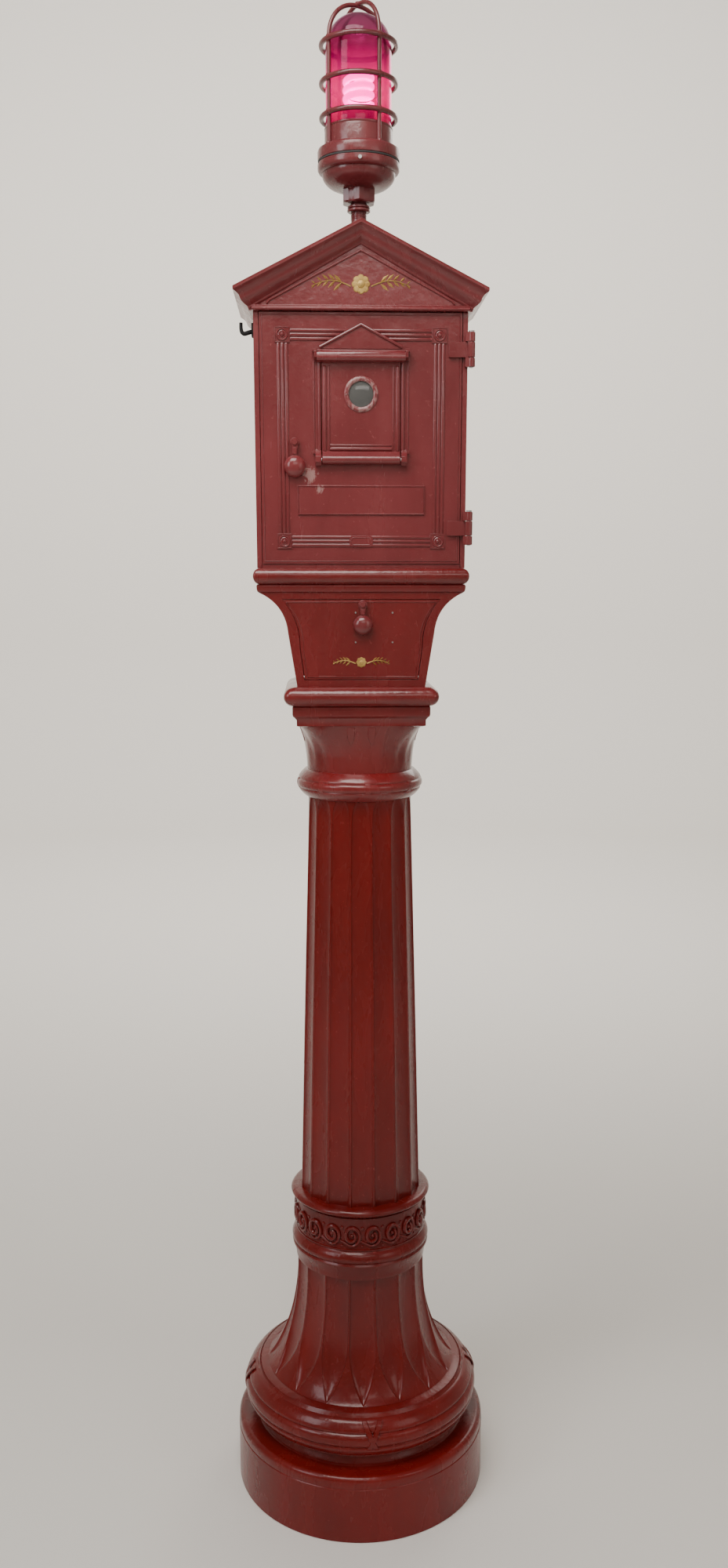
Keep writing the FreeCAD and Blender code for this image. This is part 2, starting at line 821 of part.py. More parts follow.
def drop_cover(x, z, face_y, drop, bulb_r):
    """Teardrop that hangs on a screw and hides a keyhole: an eye, an arm and a domed bulb."""
    back = face_y - boss_h - seat
    eye = rod(cover_eye_r, cover_plate_t, V(x, back, z), BACK * -1)
    arm = box(x - cover_arm_r, x + cover_arm_r, back - cover_plate_t, back, z - drop, z)
    sides = [(0, 0)] + [(bulb_r * across, bulb_r * deep) for across, deep in bulb_shares]
    face = Part.Face(wire(sides, lambda r, h: V(x + r, back - h, z - drop)))
    solid = fuse([eye, arm, face.revolve(V(x, back, z - drop), BACK, 360)])
    return solid.cut(rod(cover_screw_r + running, cover_plate_t + 1, V(x, back + 0.5, z), BACK * -1))


def cover_screw(x, z, face_y, door_t_here):
    back = face_y - boss_h - seat
    shank = rod(cover_screw_r, door_t_here + boss_h + seat + cover_plate_t + seat,
                V(x, face_y + door_t_here, z), BACK * -1)
    head = rod(cover_head_r, cover_head_h, V(x, back - cover_plate_t - seat, z), BACK * -1)
    return shank.fuse(head)


def key_barrel(x, z, face_y, depth):
    """Lock barrel in its hole, with a key slot in its nose."""
    body = rod(barrel_r, depth, V(x, face_y + 0.5, z), BACK)
    return body.cut(box(x - 1.0, x + 1.0, face_y, face_y + 4.0, z - 4.5, z + 4.5))


def terminal_lock():
    """Barrel and the cam that turns behind the terminal box's upper lip."""
    z = tbox_z + term_pivot_rise - term_cover_drop
    depth = tdoor_t + 6.0
    body = key_barrel(term_pivot_x, z, tface_y, depth)
    y = tface_y + 0.5 + depth
    cam = box(term_pivot_x - cam_w / 2, term_pivot_x + term_cam_l, y - cam_t - 1.0, y - 1.0,
              z - cam_w / 2, z + cam_w / 2)
    return body.fuse(cam)


def terminal_board():
    y = tbox_depth / 2 - tbox_wall - board_t
    z = tbox_z + board_rise
    board = box(-board_half, board_half, y, y + board_t, z, z + board_h)
    return board.cut(rod(cable_way_r, board_h + 2, V(0, 0, z - 1), UP))


def post_places():
    z = tbox_z + board_rise
    for i in range(post_columns):
        x = -board_half + board_half * 2 * (i + 0.5) / post_columns
        for k in range(post_rows):
            yield x, z + board_h * (0.16 + 0.68 * k / max(post_rows - 1, 1))


def binding_posts():
    y = tbox_depth / 2 - tbox_wall - board_t
    posts = []
    for x, z in post_places():
        posts.append(fuse([rod(post_r, post_l * 0.5, V(x, y, z), BACK * -1),
                           rod(post_r * 0.5, post_l, V(x, y, z), BACK * -1)]))
    return compound(posts)


def line_fuses():
    """Glass-tube arresters clipped between the two rows of posts."""
    y = tbox_depth / 2 - tbox_wall - board_t - fuse_r
    middle = tbox_z + board_rise + board_h / 2
    columns = sorted({round(x, 6) for x, _ in post_places()})
    return compound([rod(fuse_r, fuse_l, V(x, y, middle - fuse_l / 2), UP) for x in columns])


# ---- alarm box: shell and roof ------------------------------------------------------------
def knuckle(z0, z1):
    return rod(knuckle_r, z1 - z0, V(hinge_x, hinge_y, z0), UP)


def knuckle_rows():
    """For each hinge: the shell's lower knuckle, the door's knuckle and the shell's upper one."""
    for z in hinge_mids:
        low, high = z - hinge_h / 2, z + hinge_h / 2
        strap_low, strap_high = z - hinge_strap_h / 2, z + hinge_strap_h / 2
        yield (low, strap_low - hinge_gap), (strap_low, strap_high), (strap_high + hinge_gap, high)


def box_shell():
    half = shell_w / 2
    outer = box(-half, half, shell_y, -shell_y, shell_z, roof_z)
    inner = box(-shell_in_half, shell_in_half, shell_y - 1, shell_in_y, door_z - door_gap, roof_z + 1)
    solid = outer.cut(inner)
    lugs = []
    for low, _, high in knuckle_rows():
        for z0, z1 in (low, high):
            lugs.append(knuckle(z0, z1))
            lugs.append(box(half - 1, hinge_x + knuckle_r, hinge_y, shell_y + 14.0, z0, z1))
    solid = solid.multiFuse(lugs)
    cuts = [rod(hinge_pin_r + running, shell_h, V(hinge_x, hinge_y, shell_z), UP)]
    cuts.append(rod(cable_way_r, shell_floor * 2, V(0, 0, shell_z - 1), UP))
    keeper_z = shell_z + main_pivot_rise - main_cover_drop
    cuts.append(box(-shell_in_half - lock_throw - 1, -shell_in_half + 1,
                    lock_bolt_y() - 1, lock_bolt_y() + lock_bolt_w + 1,
                    keeper_z - lock_bolt_h / 2 - 1, keeper_z + lock_bolt_h / 2 + 1)
                .common(box(-shell_w / 2 + 1.5, 0, shell_y, -shell_y, shell_z, roof_z)))
    return solid.cut(cuts)


def door_hinge_pins():
    pins = []
    for low, _, high in knuckle_rows():
        pin = rod(hinge_pin_r, high[1] - low[0] + 2.0, V(hinge_x, hinge_y, low[0] - 1.0), UP)
        cap = rod(hinge_pin_r + 1.2, 2.0, V(hinge_x, hinge_y, high[1]), UP)
        pins.append(pin.fuse(cap))
    return compound(pins)


def raking_band():
    """Front cornice of one slope: a fillet over an ogee, drawn along the slope and cut plumb."""
    deep = roof_band
    front, back = shell_y - roof_front, shell_y
    along = V(math.cos(roof_slope), 0, -math.sin(roof_slope))
    down = V(-math.sin(roof_slope), 0, -math.cos(roof_slope))
    start = V(0, 0, apex_z) - along * roof_half / 3
    profile = [(back, 0), (front, 0), (front, roof_fillet), (front + 3.0, roof_fillet + 1.0),
               (front + roof_front * 0.45, deep * 0.62, 2.2), (front + roof_front * 0.72, deep, -2.2),
               (back, deep)]
    face = Part.Face(wire(profile, lambda y, n: start + down * n + V(0, y, 0)))
    band = face.extrude(along * roof_half * 3)
    return band.common(box(0, roof_half, front - 1, back + 1, roof_z, apex_z + 1))


def box_roof():
    """Gabled roof: side cornices, tympanum block, raking cornices and the level cornice."""
    eave_in = shell_w / 2 + 2.0
    house = mirror_x([(eave_in, roof_z), (eave_in + 4.0, roof_z + 4.0), (roof_half - 3.0, eave_z - 8.0, 4.0),
                      (roof_half, eave_z - 3.0), (roof_half, eave_z), (0.01, apex_z)])
    body = front_prism(house, shell_y, -shell_y)
    right = raking_band()
    left = right.mirror(HERE, RIGHT)
    level = box(-cornice_half, cornice_half, shell_y - cornice_proud, shell_y, roof_z,
                roof_z + cornice_h)
    rise = (apex_z - roof_z) - roof_shell_t * 2.4
    attic = front_prism([(shell_in_half - 2, roof_z), (0, roof_z + rise * 0.94),
                         (-shell_in_half + 2, roof_z)], shell_y + roof_shell_t, -shell_y - roof_shell_t)
    solid = fuse([body, right, left, level]).cut(attic)
    return solid.cut(rod(pipe_r + running, apex_z - roof_z, V(0, 0, roof_z), UP))


def eave_hook():
    """Small iron hook screwed to the left side under the eave."""
    x = -shell_w / 2
    z = roof_z - hook_drop
    foot = box(x - hook_foot_t, x, hook_y - hook_foot_w / 2, hook_y + hook_foot_w / 2,
               z - hook_foot_h / 2, z + hook_foot_h / 2)
    arm = rod(hook_wire_r, hook_reach - hook_wire_r, V(x, hook_y, z), RIGHT * -1)
    tip = rod(hook_wire_r, hook_up, V(x - hook_reach + hook_wire_r, hook_y, z), UP)
    knee = Part.makeSphere(hook_wire_r, V(x - hook_reach + hook_wire_r, hook_y, z))
    return fuse([foot, arm, tip, knee])


# ---- outer door ---------------------------------------------------------------------------
def raised(outline, height):
    """A flat raised plate on the door's face."""
    return front_prism(outline, door_y - height, door_y + 0.5)


def rect(x0, x1, z0, z1):
    return [(x0, z0), (x1, z0), (x1, z1), (x0, z1)]


def reed_band(low, high, upright, level):
    """A band of parallel reeds between two rosettes. Each reed is a low ridge."""
    out = []
    rise = band_proud + 0.6
    for i in range(band_reeds):
        off = (i - (band_reeds - 1) / 2) * band_reed_pitch + level
        ridge = [(-band_reed_r, 0), (band_reed_r, 0), (band_reed_r * 0.5, rise), (-band_reed_r * 0.5, rise)]
        if upright:
            place = lambda a, b: V(off + a, door_y - b, low)
            way = V(0, 0, high - low)
        else:
            place = lambda a, b: V(low, door_y - b, off + a)
            way = V(high - low, 0, 0)
        out.append(Part.Face(wire(ridge, place)).extrude(way))
    return out


def door_relief():
    low_z, high_z = shell_z + band_low_rise, roof_z - band_head_gap
    pieces = []
    inner = rosette_half
    for x in (-band_x, band_x):
        pieces += reed_band(low_z + inner, high_z - inner, True, x)
        for z in (low_z, high_z):
            pieces.append(raised(rect(x - inner, x + inner, z - inner, z + inner), rosette_proud))
            ring = rod(rosette_ring_r, rosette_proud, V(x, door_y - rosette_proud, z), BACK * -1)
            dish = rod(rosette_ring_r - rosette_ring_t, rosette_proud,
                       V(x, door_y - rosette_proud, z), BACK * -1)
            eye = rod(rosette_eye_r, rosette_proud, V(x, door_y - rosette_proud, z), BACK * -1)
            pieces += [ring.cut(dish), eye]
    for z in (low_z, high_z):
        pieces += reed_band(-band_x + inner, band_x - inner, False, z)
    half = plaque_half - plaque_r
    pieces.append(raised([(half, low_z - plaque_r), (half, low_z + plaque_r, -plaque_r),
                          (-half, low_z + plaque_r), (-half, low_z - plaque_r, -plaque_r)],
                         rosette_proud + 0.8))
    pieces.append(raised(rect(-plate_half, plate_half, shell_z + plate_low_rise,
                              shell_z + plate_high_rise), plate_proud))
    gable = [(gable_half, roof_z - gable_foot_drop), (0, roof_z - gable_head_drop),
             (-gable_half, roof_z - gable_foot_drop)]
    pieces.append(raised(gable, gable_proud))
    frame = quick_half + quick_gap
    wide = frame + quick_frame_w
    for side in (-1, 1):
        pieces.append(raised(rect(*sorted((side * frame, side * wide)), shell_z + quick_low_rise,
                                  quick_high_z - quick_frame_short), quick_frame_proud))
    return pieces


def quick_ears():
    """Ears at each end of the inner door's lower knuckle."""
    inner = quick_half + quick_gap
    out = []
    for side in (-1, 1):
        x = inner if side > 0 else -quick_ear_half
        out.append(rod(quick_barrel_r + 1.5, quick_ear_half - inner, V(x, quick_pin_y, quick_pin_z), RIGHT))
        out.append(box(x, x + quick_ear_half - inner, quick_pin_y, door_y + 0.5,
                       quick_pin_z - quick_barrel_r, quick_pin_z + quick_barrel_r))
    return out


def outer_door():
    plate = box(-door_half, door_half, door_y, door_in_y, door_z, door_top_z)
    straps = []
    for _, (z0, z1), _ in knuckle_rows():
        straps.append(knuckle(z0, z1))
        straps.append(box(hinge_x - strap_reach, hinge_x, door_y - strap_t, door_y - 0.4, z0, z1))
        straps.append(box(hinge_x - strap_reach, door_half, door_y - 1, door_y + 0.5, z0, z1))
    boss_z = shell_z + main_pivot_rise
    pieces = [plate, key_boss(main_pivot_x, boss_z, door_y)] + door_relief() + quick_ears() + straps
    solid = pieces[0].multiFuse(pieces[1:])
    half = quick_half + quick_gap
    cuts = [box(-half, half, door_y - 8, door_in_y + 1, shell_z + quick_low_rise - quick_gap,
                quick_high_z + quick_gap)]
    cuts.append(rod(quick_pin_r + running, quick_ear_half * 2 + 2,
                    V(-quick_ear_half - 1, quick_pin_y, quick_pin_z), RIGHT))
    cuts.append(rod(hinge_pin_r + running, shell_h, V(hinge_x, hinge_y, shell_z), UP))
    key_z = boss_z - main_cover_drop
    cuts.append(rod(barrel_r + running, door_t + 2, V(main_pivot_x, door_y - 1, key_z), BACK))
    cuts.append(rod(cover_screw_r, door_t + boss_h + 1, V(main_pivot_x, door_y - boss_h - 0.5, boss_z),
                    BACK))
    return solid.cut(cuts)


# ---- door lock ----------------------------------------------------------------------------
def lock_bolt_y():
    return door_in_y + lock_wall + 1.5


def lock_places():
    z = shell_z + main_pivot_rise - main_cover_drop
    x0 = -door_half + 1.0
    return x0, x0 + lock_w, z


def lock_case():
    """Rim lock: an open-backed case on the inside of the door, slotted for its bolt."""
    x0, x1, z = lock_places()
    y = door_in_y
    case = box(x0, x1, y, y + lock_d, z - lock_h / 2, z + lock_h / 2)
    case = case.cut(box(x0 + lock_wall, x1 - lock_wall, y + lock_wall, y + lock_d + 1,
                        z - lock_h / 2 + lock_wall, z + lock_h / 2 - lock_wall))
    slot = box(x0 - 1, x0 + lock_wall + 1, lock_bolt_y() - seat, lock_bolt_y() + lock_bolt_w + seat,
               z - lock_bolt_h / 2 - seat, z + lock_bolt_h / 2 + seat)
    hole = rod(barrel_r + running, lock_wall + 2, V(main_pivot_x, y - 1, z), BACK)
    return case.cut([slot, hole])


def lock_bolt():
    """The bolt, drawn back. Its tail is notched for the key barrel's cam."""
    x0, _, z = lock_places()
    y = lock_bolt_y()
    bolt = box(x0, main_pivot_x - cam_w, y, y + lock_bolt_w, z - lock_bolt_h / 2, z + lock_bolt_h / 2)
    return bolt


def lock_tumbler():
    """Key barrel with the crank that throws the bolt."""
    _, _, z = lock_places()
    depth = lock_bolt_y() + lock_bolt_w - door_y + 3.0
    body = key_barrel(main_pivot_x, z, door_y, depth)
    y = door_y + 0.5 + depth
    crank = box(main_pivot_x - cam_w / 2, main_pivot_x + cam_w / 2, y - cam_t, y, z, z + cam_l)
    return body.fuse(crank)


# ---- quick-action inner door --------------------------------------------------------------
def quick_door():
    """Inner door: a framed panel with a round window, a hood bar to pull at its head and a
    knuckle along its foot."""
    low, high = shell_z + quick_low_rise, quick_high_z
    face = quick_y
    plate = box(-quick_half, quick_half, face, face + quick_t, low, high)
    half = quick_panel_half
    panel = box(-half, half, face - quick_panel_proud, face + 1, low + quick_panel_margin,
                high - quick_panel_margin)
    hood = side_prism([(face + 1.0, high - 2.0), (face - hood_proud + hood_t, high - 2.0),
                       (face - hood_proud, high + 3.0), (face - hood_proud, high + hood_h - 4.0),
                       (face - hood_proud + 4.0, high + hood_h), (door_y - 0.8, high + hood_h),
                       (door_y - 0.8, high + quick_gap), (face + 1.0, high + quick_gap)],
                      -hood_half, hood_half)
    barrel = rod(quick_barrel_r, quick_half * 2, V(-quick_half, quick_pin_y, quick_pin_z), RIGHT)
    web = box(-quick_half, quick_half, quick_pin_y - 2.0, face + 1.0, quick_pin_z, low + 4.0)
    bore = rod(window_glass_r + 0.2, quick_t + 6, V(0, face - 4, window_z), BACK)
    pin_way = rod(quick_pin_r + running, quick_half * 2 + 2, V(-quick_half - 1, quick_pin_y, quick_pin_z),
                  RIGHT)
    solid = fuse([plate, panel, hood, barrel, web])
    return solid.cut([bore, pin_way])


def quick_hinge_pin():
    return rod(quick_pin_r, quick_ear_half * 2, V(-quick_ear_half, quick_pin_y, quick_pin_z), RIGHT)


def window_glass():
    y = quick_y + 1.0
    return rod(window_glass_r, window_glass_t, V(0, y, window_z), BACK)


def window_bezel():
    """Flanged ring that holds the glass."""
    y = quick_y - quick_panel_proud
    ring = rod(bezel_r, bezel_proud, V(0, y, window_z), BACK * -1)
    return ring.cut(rod(window_glass_r - 1.0, bezel_proud + 2, V(0, y + 1, window_z), BACK * -1))


def window_screws():
    y = quick_y - quick_panel_proud - bezel_proud
    return compound([rod(bezel_screw_r, 1.4, V(x, y, window_z), BACK * -1)
                     for x in (-bezel_screw_x, bezel_screw_x)])


# ---- drop covers, their screws and the terminal door's lock -------------------------------
def main_key_cover():
    return drop_cover(main_pivot_x, shell_z + main_pivot_rise, door_y, main_cover_drop, main_bulb_r)


def main_cover_screw():
    return cover_screw(main_pivot_x, shell_z + main_pivot_rise, door_y, door_t)


def terminal_key_cover():
    return drop_cover(term_pivot_x, tbox_z + term_pivot_rise, tface_y, term_cover_drop, term_bulb_r)


def terminal_cover_screw():
    return cover_screw(term_pivot_x, tbox_z + term_pivot_rise, tface_y, tdoor_t)


# ---- movement -----------------------------------------------------------------------------
case_y = shell_in_y - case_depth
back_plate_y = shell_in_y - case_wall - frame_plate_t
front_plate_y = back_plate_y - frame_space - frame_plate_t
frame_low_z = shell_z + frame_low_rise
frame_high_z = roof_z - frame_head_drop
train_z = (frame_low_z + frame_high_z) / 2 - train_drop
code_x = great_x + tooth_module * (great_teeth + code_pinion_teeth) / 2
fan_z = train_z + tooth_module * (code_gear_teeth + fan_pinion_teeth) / 2
great_y = back_plate_y - gear_w * 2 - 0.5
code_gear_y = great_y - gear_w - 2.0
barrel_y = code_gear_y - spring_barrel_w - 1.0
code_wheel_y = front_plate_y - code_wheel_t - 2.5
lever_y = code_wheel_y - lever_t - 5.0
lever_z = quick_high_z - lever_drop


def movement_case():
    """Open-fronted tray on the back wall that carries the movement."""
    low, high = shell_z + case_low_rise, roof_z - case_head_drop
    case = box(-case_half, case_half, case_y, shell_in_y, low, high)
    wall = case_wall
    return case.cut(box(-case_half + wall, case_half - wall, case_y - 1, shell_in_y - wall,
                        low + wall, high - wall))


def arbor_places():
    return ((great_x, train_z), (code_x, train_z), (code_x, fan_z))


def frame_plate(y):
    low, high = frame_low_z, frame_high_z
    plate = box(-frame_half, frame_half, y, y + frame_plate_t, low, high)
    return plate.cut([rod(arbor_r + running, frame_plate_t + 2, V(x, y - 1, z), BACK)
                      for x, z in arbor_places()])


def movement_back_plate():
    return frame_plate(back_plate_y)


def movement_front_plate():
    """Front plate, with the lever's stud."""
    stud = rod(arbor_r, front_plate_y - lever_y + 1.5, V(lever_x, front_plate_y, lever_z), BACK * -1)
    return frame_plate(front_plate_y).fuse(stud)


def plate_pillars():
    low, high = frame_low_z + pillar_inset, frame_high_z - pillar_inset
    x = frame_half - pillar_inset
    return compound([rod(pillar_r, frame_space, V(px, front_plate_y + frame_plate_t, pz), BACK)
                     for px in (-x, x) for pz in (low, high)])


def gear(teeth, x, y, z, turn):
    """Spur gear with straight-flanked teeth, slackened so that a pair runs free."""
    pitch_r = tooth_module * teeth / 2
    tip_r, root_r = pitch_r + tooth_module * 0.85, pitch_r - tooth_module * 1.15
    step = 2 * math.pi / teeth
    half = step / 4 - tooth_slack / pitch_r
    points = []
    for i in range(teeth):
        middle = turn + i * step
        for r, share in ((root_r, -1.5), (tip_r, -0.5), (tip_r, 0.5), (root_r, 1.5)):
            a = middle + half * share
            points.append((x + r * math.cos(a), z + r * math.sin(a)))
    return front_prism(points, y, y + gear_w)


def arbor(x, z, y0):
    return rod(arbor_r, back_plate_y + frame_plate_t - 0.3 - y0, V(x, y0, z), BACK)


def great_wheel():
    wheel = gear(great_teeth, great_x, great_y, train_z, 0)
    return wheel.fuse(arbor(great_x, train_z, front_plate_y - 1.0))


def spring_barrel():
    drum = rod(spring_barrel_r, spring_barrel_w, V(great_x, barrel_y, train_z), BACK)
    return drum.cut(rod(arbor_r, spring_barrel_w + 2, V(great_x, barrel_y - 1, train_z), BACK))


def code_arbor():
    pinion = gear(code_pinion_teeth, code_x, great_y, train_z,
                  math.pi + math.pi / code_pinion_teeth)
    wheel = gear(code_gear_teeth, code_x, code_gear_y, train_z, math.pi / 2)
    return fuse([pinion, wheel, arbor(code_x, train_z, code_wheel_y - 1.0)])


def code_wheel():
    """Box-number wheel, notched round its rim."""
    disc = rod(code_wheel_r, code_wheel_t, V(code_x, code_wheel_y, train_z), BACK)
    disc = disc.cut(rod(arbor_r, code_wheel_t + 2, V(code_x, code_wheel_y - 1, train_z), BACK))
    notches = []
    for i in range(code_notches):
        notch = box(code_x + code_wheel_r - 3.0, code_x + code_wheel_r + 2, code_wheel_y - 1,
                    code_wheel_y + code_wheel_t + 1, train_z - 1.5, train_z + 1.5)
        notch.rotate(V(code_x, 0, train_z), BACK, 25.0 + i * 310.0 / code_notches)
        notches.append(notch)
    return disc.cut(notches)


def fan_governor():
    """Pinion and air fan that pace the train."""
    pinion = gear(fan_pinion_teeth, code_x, code_gear_y, fan_z,
                  -math.pi / 2 + math.pi / fan_pinion_teeth)
    blades = box(code_x - fan_blade_l, code_x + fan_blade_l, code_gear_y - 2.0 - fan_blade_w,
                 code_gear_y - 2.0, fan_z - fan_blade_t / 2, fan_z + fan_blade_t / 2)
    return fuse([pinion, blades, arbor(code_x, fan_z, front_plate_y - 0.5)])


def pull_lever():
    """Alarm lever: a flat arm on the stud with a round knob to pull down."""
    eye_r = lever_w * 0.8
    eye = rod(eye_r, lever_t, V(lever_x, lever_y, lever_z), BACK)
    arm = box(lever_x, lever_x + lever_l, lever_y, lever_y + lever_t, lever_z - lever_w / 2,
              lever_z + lever_w / 2)
    knob = rod(lever_knob_r, lever_knob_l, V(lever_x + lever_l, lever_y + lever_t, lever_z), BACK * -1)
    solid = fuse([eye, arm, knob])
    return solid.cut(rod(arbor_r + running, lever_t + 2, V(lever_x, lever_y - 1, lever_z), BACK))


def contact_springs():
    """Two leaves in an insulating pack beside the code wheel's rim."""
    x = code_x + code_wheel_r + seat * 2
    top = train_z + spring_leaf_l - spring_pack_t
    y0 = front_plate_y - spring_leaf_w
    pieces = [box(x - 2.0, x + spring_pack_t, y0, front_plate_y, top, top + spring_pack_t * 1.5)]
    for i in range(2):
        left = x + i * (spring_leaf_t + 2.5)
        pieces.append(box(left, left + spring_leaf_t, y0 + 0.5, front_plate_y - 1.0,
                          train_z - spring_pack_t, top + 1.0))
    return fuse(pieces)


# ---- instruments below the movement -------------------------------------------------------
shelf_top = shell_z + shelf_rise + shelf_t
shelf_y = shell_in_y - shelf_depth
key_y = shelf_y + shelf_depth * 0.45
key_axis_z = shelf_top + key_base_t + 12.0


def instrument_shelf():
    return box(-shelf_half_w, shelf_half_w, shelf_y, shell_in_y, shell_z + shelf_rise, shelf_top)


def key_base():
    half = key_base_w / 2
    base = box(key_x - half, key_x + half, shelf_y + 4, shelf_y + 4 + key_base_l, shelf_top,
               shelf_top + key_base_t)
    inner = key_lever_w / 2 + seat
    ears = [box(key_x + side * inner - (5 if side < 0 else 0), key_x + side * inner + (5 if side > 0 else 0),
                key_y - 5, key_y + 5, shelf_top + key_base_t - 1, key_axis_z + 5) for side in (-1, 1)]
    pin = rod(key_pin_r, inner * 2 + 10, V(key_x - inner - 5, key_y, key_axis_z), RIGHT)
    anvil = rod(4.0, key_axis_z - key_lever_t / 2 - key_travel_gap - shelf_top - key_base_t,
                V(key_x, shelf_y + 12, shelf_top + key_base_t), UP)
    return fuse([base, pin, anvil] + ears)


def key_lever():
    half = key_lever_w / 2
    lever = box(key_x - half, key_x + half, shelf_y + 1, shelf_y + 1 + key_lever_l,
                key_axis_z - key_lever_t / 2, key_axis_z + key_lever_t / 2)
    knob = rod(key_knob_r, 6.0, V(key_x, shelf_y + 6, key_axis_z + key_lever_t / 2), UP)
    solid = lever.fuse(knob)
    return solid.cut(rod(key_pin_r + running, key_lever_w + 2, V(key_x - half - 1, key_y, key_axis_z),
                         RIGHT))


def telephone_jack():
    half = jack_r + 3.0
    block = box(jack_x - half, jack_x + half, shelf_y + 4, shelf_y + 4 + jack_l + 4, shelf_top,
                shelf_top + half * 2)
    nose = rod(jack_r, 4.0, V(jack_x, shelf_y + 4, shelf_top + half), BACK * -1)
    solid = block.fuse(nose)
    return solid.cut(rod(jack_bore_r, jack_l, V(jack_x, shelf_y, shelf_top + half), BACK))


def test_gong():
    """Small gong on a post from the back wall, below the shelf."""
    z = shell_z + shelf_rise / 2
    y = shell_in_y
    crown, lip = gong_r, gong_r * 0.6
    profile = [(0, crown), (gong_r * 0.7, crown - gong_t), (gong_r, lip), (gong_r - gong_t, lip),
               (gong_r * 0.64, crown - gong_t * 2), (gong_post_r, crown - gong_t * 2),
               (gong_post_r, 0), (0, 0)]
    face = Part.Face(wire(profile, lambda r, h: V(gong_x + r, y - h, z)))
    return face.revolve(V(gong_x, y, z), BACK, 360)


# ---- lamp ---------------------------------------------------------------------------------
def hexagon(across_flats, z, h):
    r = across_flats / math.sqrt(3)
    points = [V(r * math.cos(k * math.pi / 3), r * math.sin(k * math.pi / 3), z) for k in range(7)]
    return Part.Face(Part.makePolygon(points)).extrude(UP * h)


def lamp_pipe():
    low, high = lamp_z - pipe_below, hub_z + hub_h * 0.5
    inner = pipe_r - pipe_wall
    return lathe([(inner, low), (pipe_r, low), (pipe_r, high), (inner, high)])


def pipe_locknut():
    z = lamp_z + locknut_rise
    return lathe([(pipe_r + running, z), (locknut_r - 1.5, z), (locknut_r, z + 1.5),
                  (locknut_r, z + locknut_h - 1.5), (locknut_r - 1.5, z + locknut_h),
                  (pipe_r + running, z + locknut_h)])


def lamp_bowl():
    """Round bowl with a hexagon hub below and a flanged rim."""
    hub = hexagon(hub_across_flats, hub_z, hub_h)
    hub = hub.cut(rod(pipe_r + running, hub_h, V(0, 0, hub_z), UP))
    inner = bowl_r - bowl_wall
    foot = hub_across_flats / 2 - 1.5
    top = rim_z + rim_h
    rise = rim_z - bowl_z
    cup = lathe([(pipe_r + running, bowl_z), (foot, bowl_z), (bowl_r * 0.74, bowl_z + rise * 0.33),
                 (bowl_r * 0.92, bowl_z + rise * 0.72), (bowl_r, rim_z), (rim_r, rim_z), (rim_r, top),
                 (inner, top), (inner, rim_z + 2.0), (inner * 0.8, bowl_z + rise * 0.6),
                 (foot - 1.0, bowl_z + bowl_wall), (pipe_r + running, bowl_z + bowl_wall)])
    return hub.fuse(cup)


def lamp_gasket():
    z = rim_z + rim_h
    return lathe([(bowl_r - bowl_wall, z), (rim_r - 0.5, z), (rim_r - 0.5, z + gasket_h),
                  (bowl_r - bowl_wall, z + gasket_h)])


def guard_hoop(turn, rise):
    """One wire up a side, over the dome and down the other side."""
    top = guard_z + guard_ring_rises[-1] + guard_shoulder
    c, s = math.cos(turn), math.sin(turn)
    steps = 12
    hoop_r = guard_ring_r - guard_hoop_in
    across = [(hoop_r, guard_z + guard_rim_h / 2)]
    across += [(hoop_r * math.cos(a), top + rise * math.sin(a))
               for a in (math.pi * i / steps for i in range(steps + 1))]
    across.append((-hoop_r, guard_z + guard_rim_h / 2))
    return tube([V(r * c, r * s, z) for r, z in across], guard_wire_r, 6, False)


def lamp_guard():
    """Cast cage: a rim, three rings and two hoops that cross over the dome."""
    rim = lathe([(bowl_r - 1.0, guard_z), (rim_r, guard_z), (rim_r, guard_z + guard_rim_h - 3.0),
                 (rim_r - 3.0, guard_z + guard_rim_h), (bowl_r - 1.0, guard_z + guard_rim_h)])
    solid = rim
    for rise in guard_ring_rises:
        corners = [math.pi * (2 * k + 1) / 6 for k in range(6)]
        solid = solid.fuse(lathe([(guard_ring_r + guard_wire_r * math.cos(a),
                                   guard_z + rise + guard_wire_r * math.sin(a)) for a in corners]))
    for i in range(guard_ribs // 2):
        turn = math.radians(guard_rib_turn - 90 + i * 360.0 / guard_ribs)
        solid = solid.fuse(guard_hoop(turn, guard_ring_r - (i + 1) * guard_hoop_in))
    return solid


def guard_screws():
    z = rim_z + rim_h / 2
    screw = rod(guard_screw_r, 2.2, V(rim_r - 0.2, 0, z), RIGHT)
    return compound(ring_of(screw, guard_screw_count, 30))


def globe_ring():
    z = guard_z + 2.0
    inner = holder_r - holder_t
    return lathe([(inner, z), (holder_r, z), (holder_r, z + holder_h), (inner, z + holder_h)])


def glass_globe():
    """Moulded glass: a neck in the holder, straight sides and a domed crown."""
    foot, shoulder = guard_z + 2.5, guard_z + holder_h + 4.0
    top = shoulder + globe_straight_h
    inner = globe_neck_r - globe_wall
    dome = [(globe_r * math.cos(a), top + globe_dome_h * math.sin(a))
            for a in (math.pi / 2 * i / 4 for i in range(1, 4))]
    shrink = 1 - globe_wall / globe_r
    crown = top + globe_dome_h
    outline = [(inner, foot), (globe_neck_r, foot), (globe_neck_r, shoulder - 2.0), (globe_r, shoulder),
               (globe_r, top)] + dome + [(0, crown), (0, crown - globe_wall)]
    outline += [(r * shrink, z - globe_wall) for r, z in reversed(dome[1:])]
    outline += [(globe_r - globe_wall, top), (globe_r - globe_wall, shoulder)]
    return lathe(outline)


def lamp_socket():
    z = bowl_z + bowl_wall
    return lathe([(pipe_r * 0.6, z), (socket_r, z), (socket_r, z + socket_h), (0, z + socket_h),
                  (0, z + socket_h - 6), (pipe_r * 0.6, z + socket_h - 6)])


ballast_z = bowl_z + bowl_wall + socket_h
spiral_z = ballast_z + ballast_h


